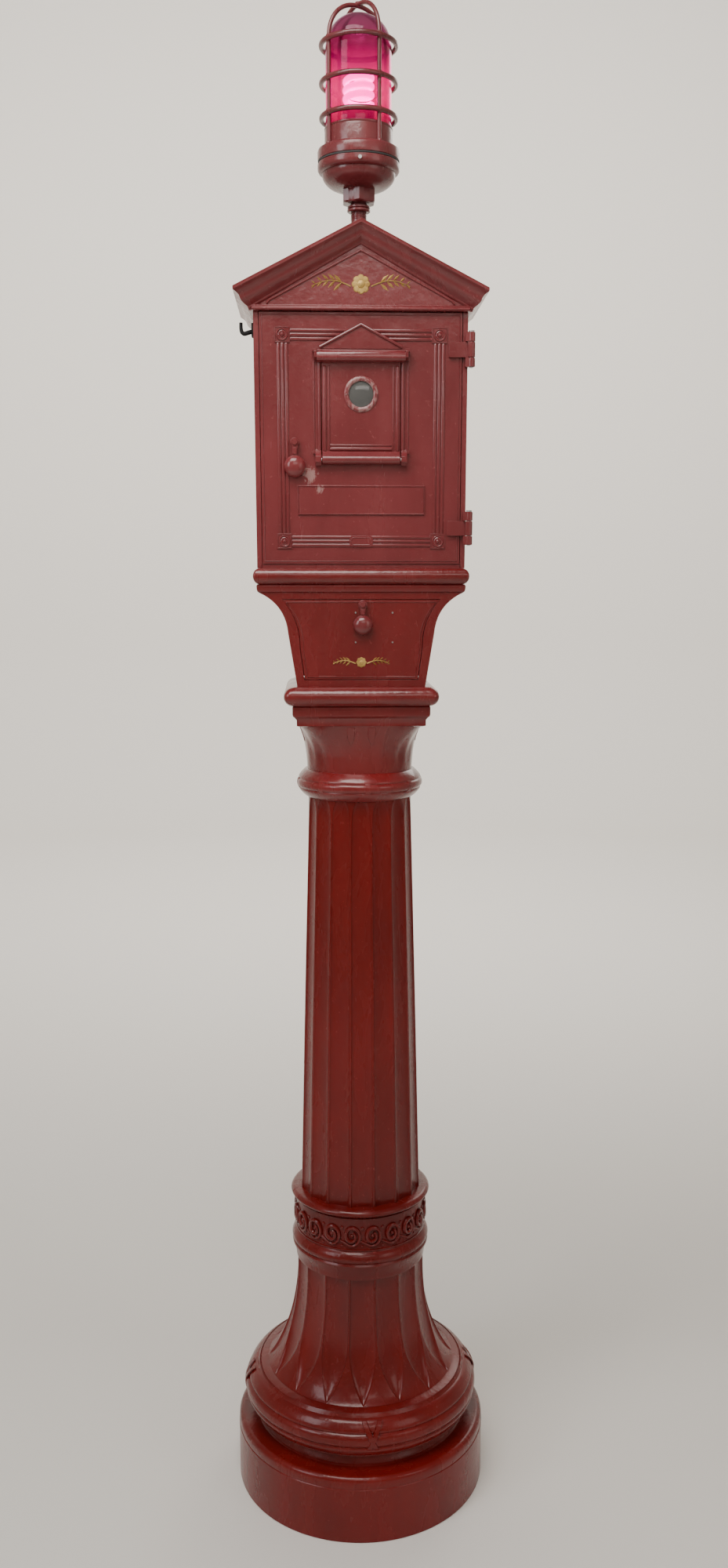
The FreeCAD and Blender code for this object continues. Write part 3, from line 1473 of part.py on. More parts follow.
def lamp_ballast():
    return lathe([(0, ballast_z), (socket_r - 3, ballast_z), (ballast_r, ballast_z + 9),
                  (ballast_r, spiral_z - 3), (ballast_r - 3, spiral_z), (0, spiral_z)])


def spiral_lamp():
    """A fluorescent tube wound in a helix on two short legs."""
    steps = 14
    count = int(spiral_turns * steps)
    path = [V(spiral_r * math.cos(a), spiral_r * math.sin(a),
              spiral_z + spiral_wire_r + spiral_pitch * a / (2 * math.pi))
            for a in (2 * math.pi * i / steps for i in range(count + 1))]
    return tube(path, spiral_wire_r, 6, False)


# ---- all nodes ----------------------------------------------------------------------------
nodes = (
    plinth, flared_base, scroll_collar, fluted_shaft, joint_bolts, neck_ring, capital,
    terminal_box, terminal_door, terminal_hinge_pin, terminal_lock, terminal_key_cover,
    terminal_cover_screw, terminal_board, binding_posts, line_fuses,
    box_shell, box_roof, eave_hook, outer_door, door_hinge_pins, lock_case, lock_bolt, lock_tumbler,
    main_key_cover, main_cover_screw, quick_door, quick_hinge_pin, window_glass, window_bezel,
    window_screws, movement_case, movement_back_plate, movement_front_plate, plate_pillars,
    great_wheel, spring_barrel, code_arbor, code_wheel, fan_governor, pull_lever, contact_springs,
    instrument_shelf, key_base, key_lever, telephone_jack, test_gong,
    lamp_pipe, pipe_locknut, lamp_bowl, lamp_gasket, lamp_guard, guard_screws, globe_ring,
    glass_globe, lamp_socket, lamp_ballast, spiral_lamp)

os.makedirs("parts", exist_ok=True)
for make in nodes:
    save(make.__name__, make())
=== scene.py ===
import bpy
import bmesh
import json
from contextlib import contextmanager
from math import atan2, copysign, cos, hypot, pi, radians, sin, sqrt
from mathutils import Matrix, Vector

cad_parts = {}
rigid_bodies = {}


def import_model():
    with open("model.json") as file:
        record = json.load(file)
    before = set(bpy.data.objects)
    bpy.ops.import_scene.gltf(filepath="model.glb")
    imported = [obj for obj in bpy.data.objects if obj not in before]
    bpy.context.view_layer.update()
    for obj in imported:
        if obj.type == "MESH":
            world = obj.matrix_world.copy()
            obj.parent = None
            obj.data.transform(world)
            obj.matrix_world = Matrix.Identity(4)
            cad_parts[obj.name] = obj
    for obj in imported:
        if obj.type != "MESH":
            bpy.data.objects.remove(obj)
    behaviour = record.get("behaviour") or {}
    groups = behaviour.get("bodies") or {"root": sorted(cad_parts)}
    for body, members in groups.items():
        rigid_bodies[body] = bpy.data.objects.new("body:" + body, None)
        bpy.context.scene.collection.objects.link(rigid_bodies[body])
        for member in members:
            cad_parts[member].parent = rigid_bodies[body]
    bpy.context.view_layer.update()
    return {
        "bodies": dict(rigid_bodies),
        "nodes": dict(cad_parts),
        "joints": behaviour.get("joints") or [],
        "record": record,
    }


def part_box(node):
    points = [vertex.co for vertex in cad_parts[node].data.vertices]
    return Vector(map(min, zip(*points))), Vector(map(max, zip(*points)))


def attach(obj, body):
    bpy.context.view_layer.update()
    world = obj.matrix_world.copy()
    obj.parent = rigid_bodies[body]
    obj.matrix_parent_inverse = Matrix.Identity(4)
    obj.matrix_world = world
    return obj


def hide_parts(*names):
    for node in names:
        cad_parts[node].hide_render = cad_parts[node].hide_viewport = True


for leftover in list(bpy.data.objects):
    bpy.data.objects.remove(leftover)
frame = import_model()
mm = 0.001
quarter, full = pi / 2, 2 * pi
fixedBody = "pedestal_and_box"

view = {"eye": (-0.0631, -2.0070, 1.4608), "tiltDown": 12.42, "turnRight": 2.18, "lens": 30.76,
        "shiftUp": 0.0572, "shiftRight": -0.00275}
warm, cool = (1.0, 0.955, 0.9), (0.93, 0.96, 1.0)
studio = {"reach": 7.0, "cove": 1.1, "wallHeight": 8.0, "worldLight": 0.22, "air": (0.93, 0.92, 0.9),
    "colour": (0.80, 0.775, 0.735), "steps": 96}
# name, place, target, size, power, colour
lamps = [("ceilingLight", (-0.5, -1.3, 3.4), (0, 0, 1.0), (1.6, 1.2), 60, warm),
         ("leftWindow", (-2.6, -2.0, 2.7), (0, 0, 1.5), (1.2, 1.8), 34, cool),
         ("rightFill", (2.4, -2.4, 2.2), (0, 0, 1.4), (1.2, 1.6), 10, warm),
         ("frontStrip", (0.25, -3.2, 2.9), (0, 0, 1.3), (1.8, 0.5), 10, warm),
         ("backFill", (1.8, 3.0, 3.0), (0, 0, 1.3), (1.6, 1.2), 18, warm),
         ("wallWash", (0, 2.4, 4.4), (0, 7.0, 2.3), (3.2, 1.0), 330, warm)]


# steps + 1 even values from low to high
def spread(low, high, steps):
    return [low + (high - low) * k / steps for k in range(steps + 1)]


# An elliptic arc round a centre, from one angle to another; a power below 1 squares its shoulder
def arc(x, z, wide, tall, start, end, steps, power=1):
    return [(x + wide * cos(a) ** power, z + tall * sin(a)) for a in spread(start, end, steps)]


# The inner points of a bulge of an upright line, or of a hollow if out is negative
def bulge(x, z, out, tall, steps):
    return [(x + out * sin(pi * t), z + tall * t) for t in spread(0, 1, steps)[1:-1]]


def shifted(points, dx, dz):
    return [(x + dx, z + dz) for x, z in points]


def linked(name, data):
    obj = bpy.data.objects.new(name, data)
    bpy.context.scene.collection.objects.link(obj)
    return obj


def placeCamera():
    data = bpy.data.cameras.new("viewCamera")
    data.sensor_fit, data.sensor_width = "AUTO", 36.0
    data.lens, data.shift_x, data.shift_y = view["lens"], view["shiftRight"], view["shiftUp"]
    cam = linked("viewCamera", data)
    cam.location = view["eye"]
    cam.rotation_euler = (radians(90 - view["tiltDown"]), 0, -radians(view["turnRight"]))
    bpy.context.scene.camera = cam


def lightStudio():
    for name, place, target, size, power, colour in lamps:
        data = bpy.data.lights.new(name, "AREA")
        data.shape = "RECTANGLE"
        data.size, data.size_y = size
        data.energy, data.color = power, colour
        lamp = linked(name, data)
        lamp.location = place
        lamp.visible_camera = False
        lamp.rotation_euler = (Vector(target) - Vector(place)).to_track_quat("-Z", "Y").to_euler()
    world = bpy.data.worlds.new("studioAir")
    world.use_nodes = True
    feed(world.node_tree, world.node_tree.nodes["Background"], {0: studio["air"], 1: studio["worldLight"]})
    bpy.context.scene.world = world


# A round floor that sweeps up into a plain wall, so that every side has the same backdrop
def layFloor():
    reach, cove, steps = studio["reach"], studio["cove"], studio["steps"]
    profile = [(1.5, 0.0), (reach - cove, 0.0)]
    profile += arc(reach - cove, cove, cove, cove, -quarter, 0, 10)[1:] + [(reach, studio["wallHeight"])]
    verts = [(r * cos(a), r * sin(a), z) for a in spread(0, full, steps)[:-1]
        for r, z in profile] + [(0, 0, 0)]
    n = len(profile)
    faces = []
    for here, there in ((k * n, (k + 1) % steps * n) for k in range(steps)):
        faces += [(here + i, here + i + 1, there + i + 1, there + i) for i in range(n - 1)]
        faces.append((len(verts) - 1, here, there))
    mesh = bpy.data.meshes.new("studioSweep")
    mesh.from_pydata(verts, [], faces)
    mesh.shade_smooth()
    mat, tree = newMaterial("studioSweep")
    mesh.materials.append(surfaced(mat, {"Base Color": studio["colour"], "Roughness": 0.75},
        noiseOf(tree, 60, 4, 0.55), 0.25, 0.0005))
    linked("studioSweep", mesh)


# Gives each input of a node its value, or links it to another node's output
def feed(tree, target, inputs):
    for key, value in inputs.items():
        socket = target.inputs[key]
        if isinstance(value, bpy.types.NodeSocket):
            tree.links.new(value, socket)
        else:
            socket.default_value = (*value, 1) if socket.type == "RGBA" else value


# Adds a node, and gives back one of its outputs
def node(tree, kind, inputs=(), out=0, **settings):
    made = tree.nodes.new(kind)
    for label, value in settings.items():
        setattr(made, label, value)
    feed(tree, made, inputs if isinstance(inputs, dict) else dict(enumerate(inputs)))
    return made.outputs[out]


def newMaterial(name):
    mat = bpy.data.materials.new(name)
    mat.use_nodes = True
    return mat, mat.node_tree


def surfaced(mat, inputs, height=None, strength=0.0, depth=0.0):
    tree = mat.node_tree
    feed(tree, tree.nodes["Principled BSDF"], inputs)
    if height:
        normal = node(tree, "ShaderNodeBump", {"Strength": strength, "Distance": depth, "Height": height})
        feed(tree, tree.nodes["Principled BSDF"], {"Normal": normal, "Coat Normal": normal})
    return mat


# A noise on the piece, stretched if its marks are longer one way
def noiseOf(tree, scale, detail, rough, stretch=None, warp=0.0):
    where = node(tree, "ShaderNodeTexCoord", out="Object")
    if stretch:
        where = node(tree, "ShaderNodeMapping", {"Vector": where, "Scale": stretch})
    return node(tree, "ShaderNodeTexNoise", {"Vector": where, "Scale": scale, "Detail": detail,
        "Roughness": rough, "Distortion": warp}, "Fac")


# Spreads a value's range low..high over toLow..toHigh
def between(tree, value, low, high, toLow=0, toHigh=1):
    return node(tree, "ShaderNodeMapRange", (value, low, high, toLow, toHigh))


def mixed(tree, amount, first, second):
    return node(tree, "ShaderNodeMix", {0: amount, 6: first, 7: second}, 2, data_type="RGBA")


# first + share * second
def added(tree, first, share, second):
    return node(tree, "ShaderNodeMath", (second, share, first), operation="MULTIPLY_ADD")


# Two tones and a range of gloss that follow one noise
def toned(tree, noise, first, second, low, high, gloss, rougher):
    return {"Base Color": mixed(tree, between(tree, noise, low, high), first, second),
        "Roughness": between(tree, noise, 0.3, 0.7, gloss, rougher)}


# Thick brushed enamel over sand-cast iron; scrapes are (centre, reach, dense)
def enamel(name, deep, bright, gloss, lumps, scrapes=(), sheen=0.5):
    mat, tree = newMaterial(name)
    broad = noiseOf(tree, 3.0, 3, 0.5)  # slow drift from deep to bright
    runs = noiseOf(tree, 22, 4, 0.6, (1, 1, 0.28), 0.4)  # brush runs down the casting
    grain = noiseOf(tree, 240, 3, 0.6)  # sand-cast skin under the paint
    orange = noiseOf(tree, 85, 2, 0.5)  # slow waves in thick enamel
    colour = mixed(tree, between(tree, added(tree, broad, 0.5, runs), 0.55, 0.95), deep, bright)
    specks = between(tree, noiseOf(tree, 170, 2, 0.7), 0.66, 0.74, 0, 0.45)
    colour = mixed(tree, specks, colour, tuple(min(1, c * 1.5 + 0.03) for c in bright))
    for centre, reach, dense in scrapes:  # paint rubbed pale by keys and hands
        gap = node(tree, "ShaderNodeVectorMath", (node(tree, "ShaderNodeTexCoord", out="Object"),
            tuple(c * mm for c in centre)), "Value", operation="DISTANCE")
        patch = added(tree, noiseOf(tree, 190, 4, 0.75, (1, 1, 0.6), 0.6), -0.5 / (reach * mm), gap)
        rubbed = between(tree, patch, 0.5 - dense, 0.64 - dense, 0, 0.85)
        colour = mixed(tree, rubbed, colour, (0.36, 0.20, 0.19))
    height = added(tree, added(tree, orange, 0.55, runs), 0.22, grain)
    return surfaced(mat, {"Base Color": colour, "Specular IOR Level": sheen, "Coat Weight": 0.22,
        "Roughness": between(tree, runs, 0.3, 0.75, gloss - 0.06, gloss + 0.10), "Coat Roughness": 0.12},
        height, 0.42, 0.0011 * lumps)


def metal(name, colour, dull, gloss, brushed=None):
    mat, tree = newMaterial(name)
    wear = noiseOf(tree, 28, 5, 0.65)
    looks = toned(tree, wear, colour, dull, 0.35, 0.75, gloss - 0.07, gloss + 0.14)
    lines = added(tree, noiseOf(tree, 320, 3, 0.7, brushed), 0.4, wear)
    return surfaced(mat, {**looks, "Metallic": 1.0}, lines, 0.25, 0.0003)


def moulded(name, colour, worn, gloss, scale):
    mat, tree = newMaterial(name)
    looks = toned(tree, noiseOf(tree, scale, 4, 0.6), colour, worn, 0.35, 0.7, gloss - 0.05, gloss + 0.1)
    return surfaced(mat, looks, noiseOf(tree, scale * 9, 3, 0.6), 0.3, 0.0002)


def giltPaint():
    mat, tree = newMaterial("giltPaint")
    rub = noiseOf(tree, 260, 4, 0.7)
    looks = toned(tree, noiseOf(tree, 60, 4, 0.6), (0.36, 0.21, 0.05), (0.62, 0.42, 0.14), 0.3, 0.7, 0.30,
        0.48)
    worn = between(tree, rub, 0.60, 0.68, 0, 0.75)  # red shows where the gilt has rubbed off
    looks["Base Color"] = mixed(tree, worn, looks["Base Color"], (0.13, 0.012, 0.014))
    return surfaced(mat, {**looks, "Metallic": 0.55}, rub, 0.3, 0.0004)


# Red globe glass, lit from inside round the height of the tube
def rubyGlass():
    mat, tree = newMaterial("rubyGlass")
    cord = noiseOf(tree, 26, 2, 0.5, (1, 1, 0.3))
    height = node(tree, "ShaderNodeSeparateXYZ", (node(tree, "ShaderNodeTexCoord", out="Object"),), "Z")
    upper = between(tree, added(tree, height, 0.012, cord), 2.150, 2.182)  # the dome is duller
    looks = toned(tree, cord, (0.50, 0.003, 0.17), (0.58, 0.006, 0.22), 0.35, 0.65, 0.03, 0.10)
    looks["Base Color"] = mixed(tree, upper, looks["Base Color"], (0.42, 0.16, 0.27))
    lit = node(tree, "ShaderNodeMath", (between(tree, height, 2.060, 2.092, 0.03),
        between(tree, height, 2.116, 2.150, 1, 0.05)), operation="MULTIPLY")
    return surfaced(mat, {**looks, "Transmission Weight": 0.93, "IOR": 1.25, "Emission Strength": 0.42,
        "Emission Color": mixed(tree, lit, (0, 0, 0), (0.95, 0.0, 0.24))}, cord, 0.2, 0.0008)


def clearGlass(name, tint, gloss, clear=1.0):
    mat, tree = newMaterial(name)
    dim = tuple(c * 0.86 for c in tint)
    looks = toned(tree, noiseOf(tree, 50, 3, 0.6), tint, dim, 0.3, 0.7, gloss, gloss + 0.08)
    return surfaced(mat, {**looks, "Transmission Weight": clear})


def litTube():
    mat, tree = newMaterial("litTube")
    glow = mixed(tree, between(tree, noiseOf(tree, 70, 3, 0.6), 0.25, 0.75), (1.0, 0.42, 1.0),
        (1.0, 0.72, 1.0))
    return surfaced(mat, {"Emission Color": glow, "Base Color": glow, "Emission Strength": 9.0})


keyRubs = [((-70, -89, 1600), 17, 0.30), ((-58, -89, 1582), 12, 0.26), ((-62, -89, 1630), 9, 0.2)]
red = enamel("redEnamel", (0.102, 0.0065, 0.0068), (0.178, 0.011, 0.0115), 0.24, 1.0)
columnRed = enamel("columnEnamel", (0.097, 0.0045, 0.0035), (0.162, 0.0070, 0.0055), 0.25, 0.9,
    sheen=0.22)
shellRed = enamel("shellEnamel", (0.125, 0.017, 0.020), (0.205, 0.030, 0.034), 0.24, 1.0)
doorRed = enamel("doorEnamel", (0.118, 0.016, 0.0185), (0.190, 0.027, 0.031), 0.22, 0.8, keyRubs)
wornRed = enamel("wornEnamel", (0.14, 0.020, 0.024), (0.23, 0.040, 0.045), 0.3, 0.9,
    [((0, -93, 1705), 60, 0.22)])
gold = giltPaint()
windowGlass = clearGlass("windowGlass", (0.30, 0.30, 0.29), 0.06, 0.72)  # filmed over with age
slots = {
    "red_enamel": red,
    "lamp_metal": enamel("lampEnamel", (0.110, 0.018, 0.021), (0.185, 0.030, 0.035), 0.28, 0.9),
    "black_iron": metal("blackIron", (0.045, 0.045, 0.048), (0.018, 0.016, 0.015), 0.5),
    "steel": metal("plainSteel", (0.56, 0.56, 0.57), (0.36, 0.35, 0.34), 0.34, (1, 6, 1)),
    "aluminium": metal("aluminium", (0.66, 0.67, 0.68), (0.42, 0.43, 0.44), 0.34, (1, 1, 0.1)),
    "brass": metal("agedBrass", (0.70, 0.48, 0.19), (0.42, 0.26, 0.09), 0.3, (6, 1, 1)),
    "rubber": moulded("gasketRubber", (0.022, 0.022, 0.023), (0.045, 0.043, 0.042), 0.7, 60),
    "slate": moulded("slateBoard", (0.05, 0.052, 0.056), (0.095, 0.095, 0.1), 0.55, 40),
    "porcelain": moulded("porcelain", (0.80, 0.77, 0.72), (0.68, 0.64, 0.58), 0.16, 30),
    "black_plastic": moulded("bakelite", (0.018, 0.014, 0.012), (0.045, 0.03, 0.022), 0.24, 35),
    "white_plastic": moulded("ballastShell", (0.80, 0.77, 0.74), (0.72, 0.66, 0.60), 0.33, 25),
    "red_glass": rubyGlass(), "window_glass": windowGlass, "lamp_glow": litTube(),
    "clear_glass": clearGlass("tubeGlass", (0.86, 0.9, 0.9), 0.05)}
slotNames = {mat.name: slot for slot, mat in slots.items()}
slotNames.update({mat.name: "red_enamel" for mat in (columnRed, shellRed, doorRed, wornRed)})
slotNames[gold.name] = "brass"

placeCamera()
lightStudio()
layFloor()
print("camera, lights and floor placed")

for entry in frame["record"]["subparts"]:  # each CAD part that stays gets its real finish
    part = frame["nodes"][entry["node"]].data
    part.materials.clear()
    part.materials.append(slots[entry["material_slot"]])
print("finishes on", len(frame["nodes"]), "frame parts")


# Gives a piece its finish and edges, and tells the frame which body carries it and what it replaces
def finished(name, pieces, material, stands=None, soft=36, bevel=None, body=fixedBody):
    mesh = joined(name, pieces)
    mesh.materials.clear()
    mesh.materials.append(material)
    obj = linked(name, mesh)
    if bevel:
        edge = obj.modifiers.new("softEdges", "BEVEL")
        edge.width, edge.segments = bevel * mm, 2
        edge.limit_method, edge.angle_limit = "ANGLE", radians(28)
    with edited(mesh) as bm:
        for face in bm.faces:
            face.smooth = True
        for edge in bm.edges:
            if len(edge.link_faces) == 2 and edge.calc_face_angle(0) > radians(soft):
                edge.smooth = False
    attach(obj, body)
    if stands:
        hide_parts(stands)


# Lets a block of code edit a mesh
@contextmanager
def edited(mesh):
    bm = bmesh.new()
    bm.from_mesh(mesh)
    yield bm
    bm.to_mesh(mesh)
    bm.free()


def meshOf(verts, faces):
    mesh = bpy.data.meshes.new("piece")
    mesh.from_pydata([tuple(c * mm for c in v) for v in verts], [], faces)
    with edited(mesh) as bm:
        bmesh.ops.remove_doubles(bm, verts=bm.verts, dist=1e-7)
        bmesh.ops.recalc_face_normals(bm, faces=bm.faces)
    return mesh


def joined(name, meshes):
    out = bpy.data.meshes.new(name)
    with edited(out) as bm:
        for mesh in meshes:
            bm.from_mesh(mesh)
            bpy.data.meshes.remove(mesh)
    return out


# A skin through rings of equal count: its ends are closed, or its last ring meets its first
def lofted(rings, closed=False):
    n, count = len(rings[0]), len(rings)
    faces = [(i * n + k, i * n + (k + 1) % n, (i + 1) % count * n + (k + 1) % n, (i + 1) % count * n + k)
        for i in range(count if closed else count - 1) for k in range(n)]
    if not closed:
        faces += [tuple(range(n))[::-1], tuple(range((count - 1) * n, count * n))]
    return meshOf([point for ring in rings for point in ring], faces)


# A closed outline of (radius, height) spun round the upright axis
def turned(profile, steps=160, centre=(0, 0)):
    n = len(profile)
    verts = [(centre[0] + r * cos(a), centre[1] + r * sin(a), z) for a in spread(0, full, steps)[:-1]
        for r, z in profile]
    faces = [(k * n + i, (k + 1) % steps * n + i, (k + 1) % steps * n + (i + 1) % n, k * n + (i + 1) % n)
        for k in range(steps) for i in range(n) if max(profile[i][0], profile[(i + 1) % n][0]) > 1e-6]
    return meshOf(verts, faces)


# Replaces each corner of an outline by a small arc-like curve
def rounded(points, radius, steps=5):
    out = []
    for i, point in enumerate(points):
        here = Vector(point)
        a, b = Vector(points[i - 1]) - here, Vector(points[(i + 1) % len(points)]) - here
        cut = min(radius, a.length * 0.48, b.length * 0.48)
        a, b = here + a.normalized() * cut, here + b.normalized() * cut
        out += [tuple(a * (1 - t) ** 2 + here * 2 * t * (1 - t) + b * t * t) for t in spread(0, 1, steps)]
    return out


# An outline in (x, z) given thickness from near to far along y
def slabOf(outline, near, far):
    return lofted([[(x, y, z) for x, z in outline] for y in (near, far)])


# An outline in (y, z) carried from x0 to x1
def sideSlab(outline, x0, x1):
    return lofted([[(x, y, z) for y, z in outline] for x in (x0, x1)])


def rectangle(x0, x1, z0, z1):
    return [(x0, z0), (x1, z0), (x1, z1), (x0, z1)]


def circle(x, z, r, steps=32):
    return arc(x, z, r, r, 0, full, steps)[:-1]


def block(x0, x1, y0, y1, z0, z1, edge=1.0):
    return slabOf(rounded(rectangle(x0, x1, z0, z1), edge, 3), y0, y1)


# A round bar along a path; its radius may change from foot to tip
def sweptBar(path, radius, sides=10, closed=False):
    points = [Vector(p) for p in path]
    n, rings, side = len(points), [], None
    for i, here in enumerate(points):
        ahead, behind = (points[(i + 1) % n], points[i - 1]) if closed else (
            points[min(i + 1, n - 1)], points[max(i - 1, 0)])
        way = (ahead - behind).normalized()
        if side is None:
            side = way.orthogonal().normalized()
        side = (side - way * side.dot(way)).normalized()
        over = way.cross(side)
        r = radius(i / (n - 1)) if callable(radius) else radius
        rings.append([here + side * (r * cos(a)) + over * (r * sin(a))
            for a in spread(0, full, sides)[:-1]])
    return lofted(rings, closed)


# A rolled bead along an outline in (x, z) on a face
def beading(outline, y, radius, sides=6, closed=True):
    return sweptBar([(x, y, z) for x, z in outline], radius, sides, closed)


# Turns a piece made round the upright axis, and sets it in its place
def placed(mesh, x, y, z, turn=90, axis="X"):
    mesh.transform(Matrix.Translation((x * mm, y * mm, z * mm)) @ Matrix.Rotation(radians(turn), 4, axis))
    return mesh


# A flat plate with openings, from near to far
def plateWithHoles(outline, holes, near, far):
    mesh, edges = bpy.data.meshes.new("plate"), []
    with edited(mesh) as bm:
        for points in [outline] + holes:
            loop = [bm.verts.new((x * mm, near * mm, z * mm)) for x, z in points]
            edges += [bm.edges.new(pair) for pair in zip(loop, loop[1:] + loop[:1])]
        bmesh.ops.triangle_fill(bm, edges=edges, use_beauty=True, use_dissolve=False)
        swept = bmesh.ops.extrude_face_region(bm, geom=list(bm.faces))
        verts = [v for v in swept["geom"] if isinstance(v, bmesh.types.BMVert)]
        bmesh.ops.translate(bm, verts=verts, vec=(0, (far - near) * mm, 0))
        bmesh.ops.recalc_face_normals(bm, faces=bm.faces)
        bmesh.ops.dissolve_limit(bm, angle_limit=0.01, verts=bm.verts, edges=bm.edges)
    return mesh


def dropped(obj):
    mesh = obj.data
    bpy.data.objects.remove(obj)
    bpy.data.meshes.remove(mesh)


# Runs one modifier on a mesh and gives the result back as a plain mesh
def grown(mesh, kind, setUp):
    holder = linked("holder", mesh)
    setUp(holder.modifiers.new("run", kind))
    depsgraph = bpy.context.evaluated_depsgraph_get()
    depsgraph.update()
    out = bpy.data.meshes.new_from_object(holder.evaluated_get(depsgraph))
    dropped(holder)
    return out


# Takes one closed mesh out of another
def cutOut(mesh, cutterMesh):
    cutter = linked("cutter", cutterMesh)

    def setUp(cut):
        cut.operation, cut.solver, cut.object = "DIFFERENCE", "EXACT", cutter
    out = grown(mesh, "BOOLEAN", setUp)
    dropped(cutter)
    return out


# An empty geometry tree with its named inputs
def newTree(name, sockets):
    tree = bpy.data.node_groups.new(name, "GeometryNodeTree")
    tree.interface.new_socket("Geometry", in_out="OUTPUT", socket_type="NodeSocketGeometry")
    for label, kind in sockets:
        tree.interface.new_socket(label, in_out="INPUT", socket_type="NodeSocket" + kind)
    return tree, tree.nodes.new("NodeGroupInput").outputs


# Ends a tree: its copies become real and take their finish
def closeTree(tree, shape, finish):
    real = node(tree, "GeometryNodeRealizeInstances", (shape,))
    out = node(tree, "GeometryNodeSetMaterial", {"Geometry": real, "Material": finish})
    tree.links.new(out, tree.nodes.new("NodeGroupOutput").inputs[0])
    return tree


def runTree(tree, values):
    ids = {s.name: s.identifier for s in tree.interface.items_tree if s.in_out == "INPUT"}

    def setUp(run):
        run.node_group = tree
        for label, value in values.items():
            run[ids[label]] = value
    return grown(bpy.data.meshes.new("empty"), "NODES", setUp)


# Copies a seed piece round the upright axis
def aroundTree():
    tree, given = newTree("repeatPiece", (("Seed Piece", "Object"), ("Count", "Int"),
        ("Step Turn", "Float"), ("Start Turn", "Float"), ("Finish", "Material")))
    seed = node(tree, "GeometryNodeObjectInfo", {"Object": given["Seed Piece"]}, "Geometry")
    points = node(tree, "GeometryNodeMeshLine", {"Count": given["Count"], "Offset": (0, 0, 0)})
    turn = node(tree, "ShaderNodeMath", (node(tree, "GeometryNodeInputIndex"), given["Step Turn"],
        given["Start Turn"]), operation="MULTIPLY_ADD")
    spin = node(tree, "ShaderNodeCombineXYZ", {"Z": turn})
    copies = node(tree, "GeometryNodeInstanceOnPoints",
        {"Points": points, "Instance": seed, "Rotation": spin})
    return closeTree(tree, copies, given["Finish"])


repeats = aroundTree()


# count copies of some pieces, evenly round the upright axis
def around(pieces, count, material, start=0.0):
    seed = linked("seedPiece", joined("seed", pieces))
    out = runTree(repeats, {"Seed Piece": seed, "Count": count, "Step Turn": full / count,
        "Start Turn": radians(start), "Finish": material})
    dropped(seed)
    return out


# A round wall whose flutes follow curves of radius and opening by height
def flutedTree(name, radiusAt, openAt):
    tree, given = newTree(name, [(label, "Int") for label in ("Flutes", "Columns", "Rows")] + [(label,
        "Float") for label in ("Foot", "Height", "Depth", "Land", "Land Columns", "End Depth",
        "Start Turn", "Row Crowding")] + [("Finish", "Material")])

    def sums(operation, *values):
        return node(tree, "ShaderNodeMath", values, operation=operation)

    def curveOf(points, value):
        curved = tree.nodes.new("ShaderNodeFloatCurve")
        curved.mapping.use_clip = False
        curve = curved.mapping.curves[0]
        while len(curve.points) < len(points):
            curve.points.new(0.5, 0.5)
        for spot, place in zip(curve.points, points):
            spot.location, spot.handle_type = place, "AUTO"
        curved.mapping.update()
        feed(tree, curved, {"Value": value})
        return curved.outputs[0]

    grid = node(tree, "GeometryNodeMeshGrid",
        {"Size X": 1.0, "Size Y": 1.0, "Vertices X": given["Columns"], "Vertices Y": given["Rows"]})
    at = {axis: node(tree, "ShaderNodeSeparateXYZ", (node(tree, "GeometryNodeInputPosition"),), axis)
          for axis in "XY"}
    rise = sums("POWER", sums("ADD", at["Y"], 0.5), given["Row Crowding"])
    opened = curveOf(openAt, rise)
    turnsIn = sums("MULTIPLY", sums("ADD", at["X"], 0.5), given["Flutes"])
    across = sums("MULTIPLY_ADD", sums("FRACT", turnsIn), 2.0, -1.0)
    aside = sums("ABSOLUTE", across)
    inside = sums("SUBTRACT", 1.0, given["Land Columns"])
    swing = sums("MULTIPLY", sums("MINIMUM", sums("DIVIDE", aside, inside), 1.0), quarter)
    spare = sums("MAXIMUM", sums("DIVIDE", sums("SUBTRACT", aside, inside), given["Land Columns"]), 0.0)
    room = sums("MULTIPLY", sums("SUBTRACT", 1.0, given["Land"]), opened)
    reach = sums("ADD", sums("MULTIPLY", sums("SINE", swing), room),
        sums("MULTIPLY", spare, sums("SUBTRACT", 1.0, room)))
    sunk = sums("MULTIPLY", sums("COSINE", swing), sums("MULTIPLY", given["Depth"],
        sums("POWER", opened, given["End Depth"])))
    radius = sums("SUBTRACT", curveOf(radiusAt, rise), sunk)
    sideways = sums("MULTIPLY", sums("SIGN", across), sums("MULTIPLY", reach, 0.5))
    share = sums("DIVIDE", sums("ADD", sums("ADD", sums("FLOOR", turnsIn), 0.5), sideways),
        given["Flutes"])
    angle = sums("MULTIPLY_ADD", share, full, given["Start Turn"])
    where = node(tree, "ShaderNodeCombineXYZ", (sums("MULTIPLY", radius, sums("COSINE", angle)),
        sums("MULTIPLY", radius, sums("SINE", angle)), sums("MULTIPLY_ADD", rise, given["Height"],
        given["Foot"])))
    bent = node(tree, "GeometryNodeSetPosition", {"Geometry": grid, "Position": where})
    seam = node(tree, "GeometryNodeMergeByDistance", {"Geometry": bent, "Distance": 1e-6})
    return closeTree(tree, seam, given["Finish"])


def flutedWall(name, s, foot, height, radiusAt, openAt, material):
    mesh = runTree(flutedTree(name, radiusAt, openAt), {
        "Flutes": s["flutes"], "Columns": s["flutes"] * s["facets"] + 1, "Rows": s["rows"],
        "Foot": foot * mm, "Height": height * mm, "Depth": s["depth"] * mm, "Land": s["land"],
        "Land Columns": s["landColumns"], "End Depth": s["endDepth"],
        "Start Turn": radians(s["startTurn"]), "Row Crowding": s["crowding"], "Finish": material})
    with edited(mesh) as bm:
        bmesh.ops.holes_fill(bm, edges=[e for e in bm.edges if len(e.link_faces) == 1], sides=0)
        bmesh.ops.recalc_face_normals(bm, faces=bm.faces)
    return mesh


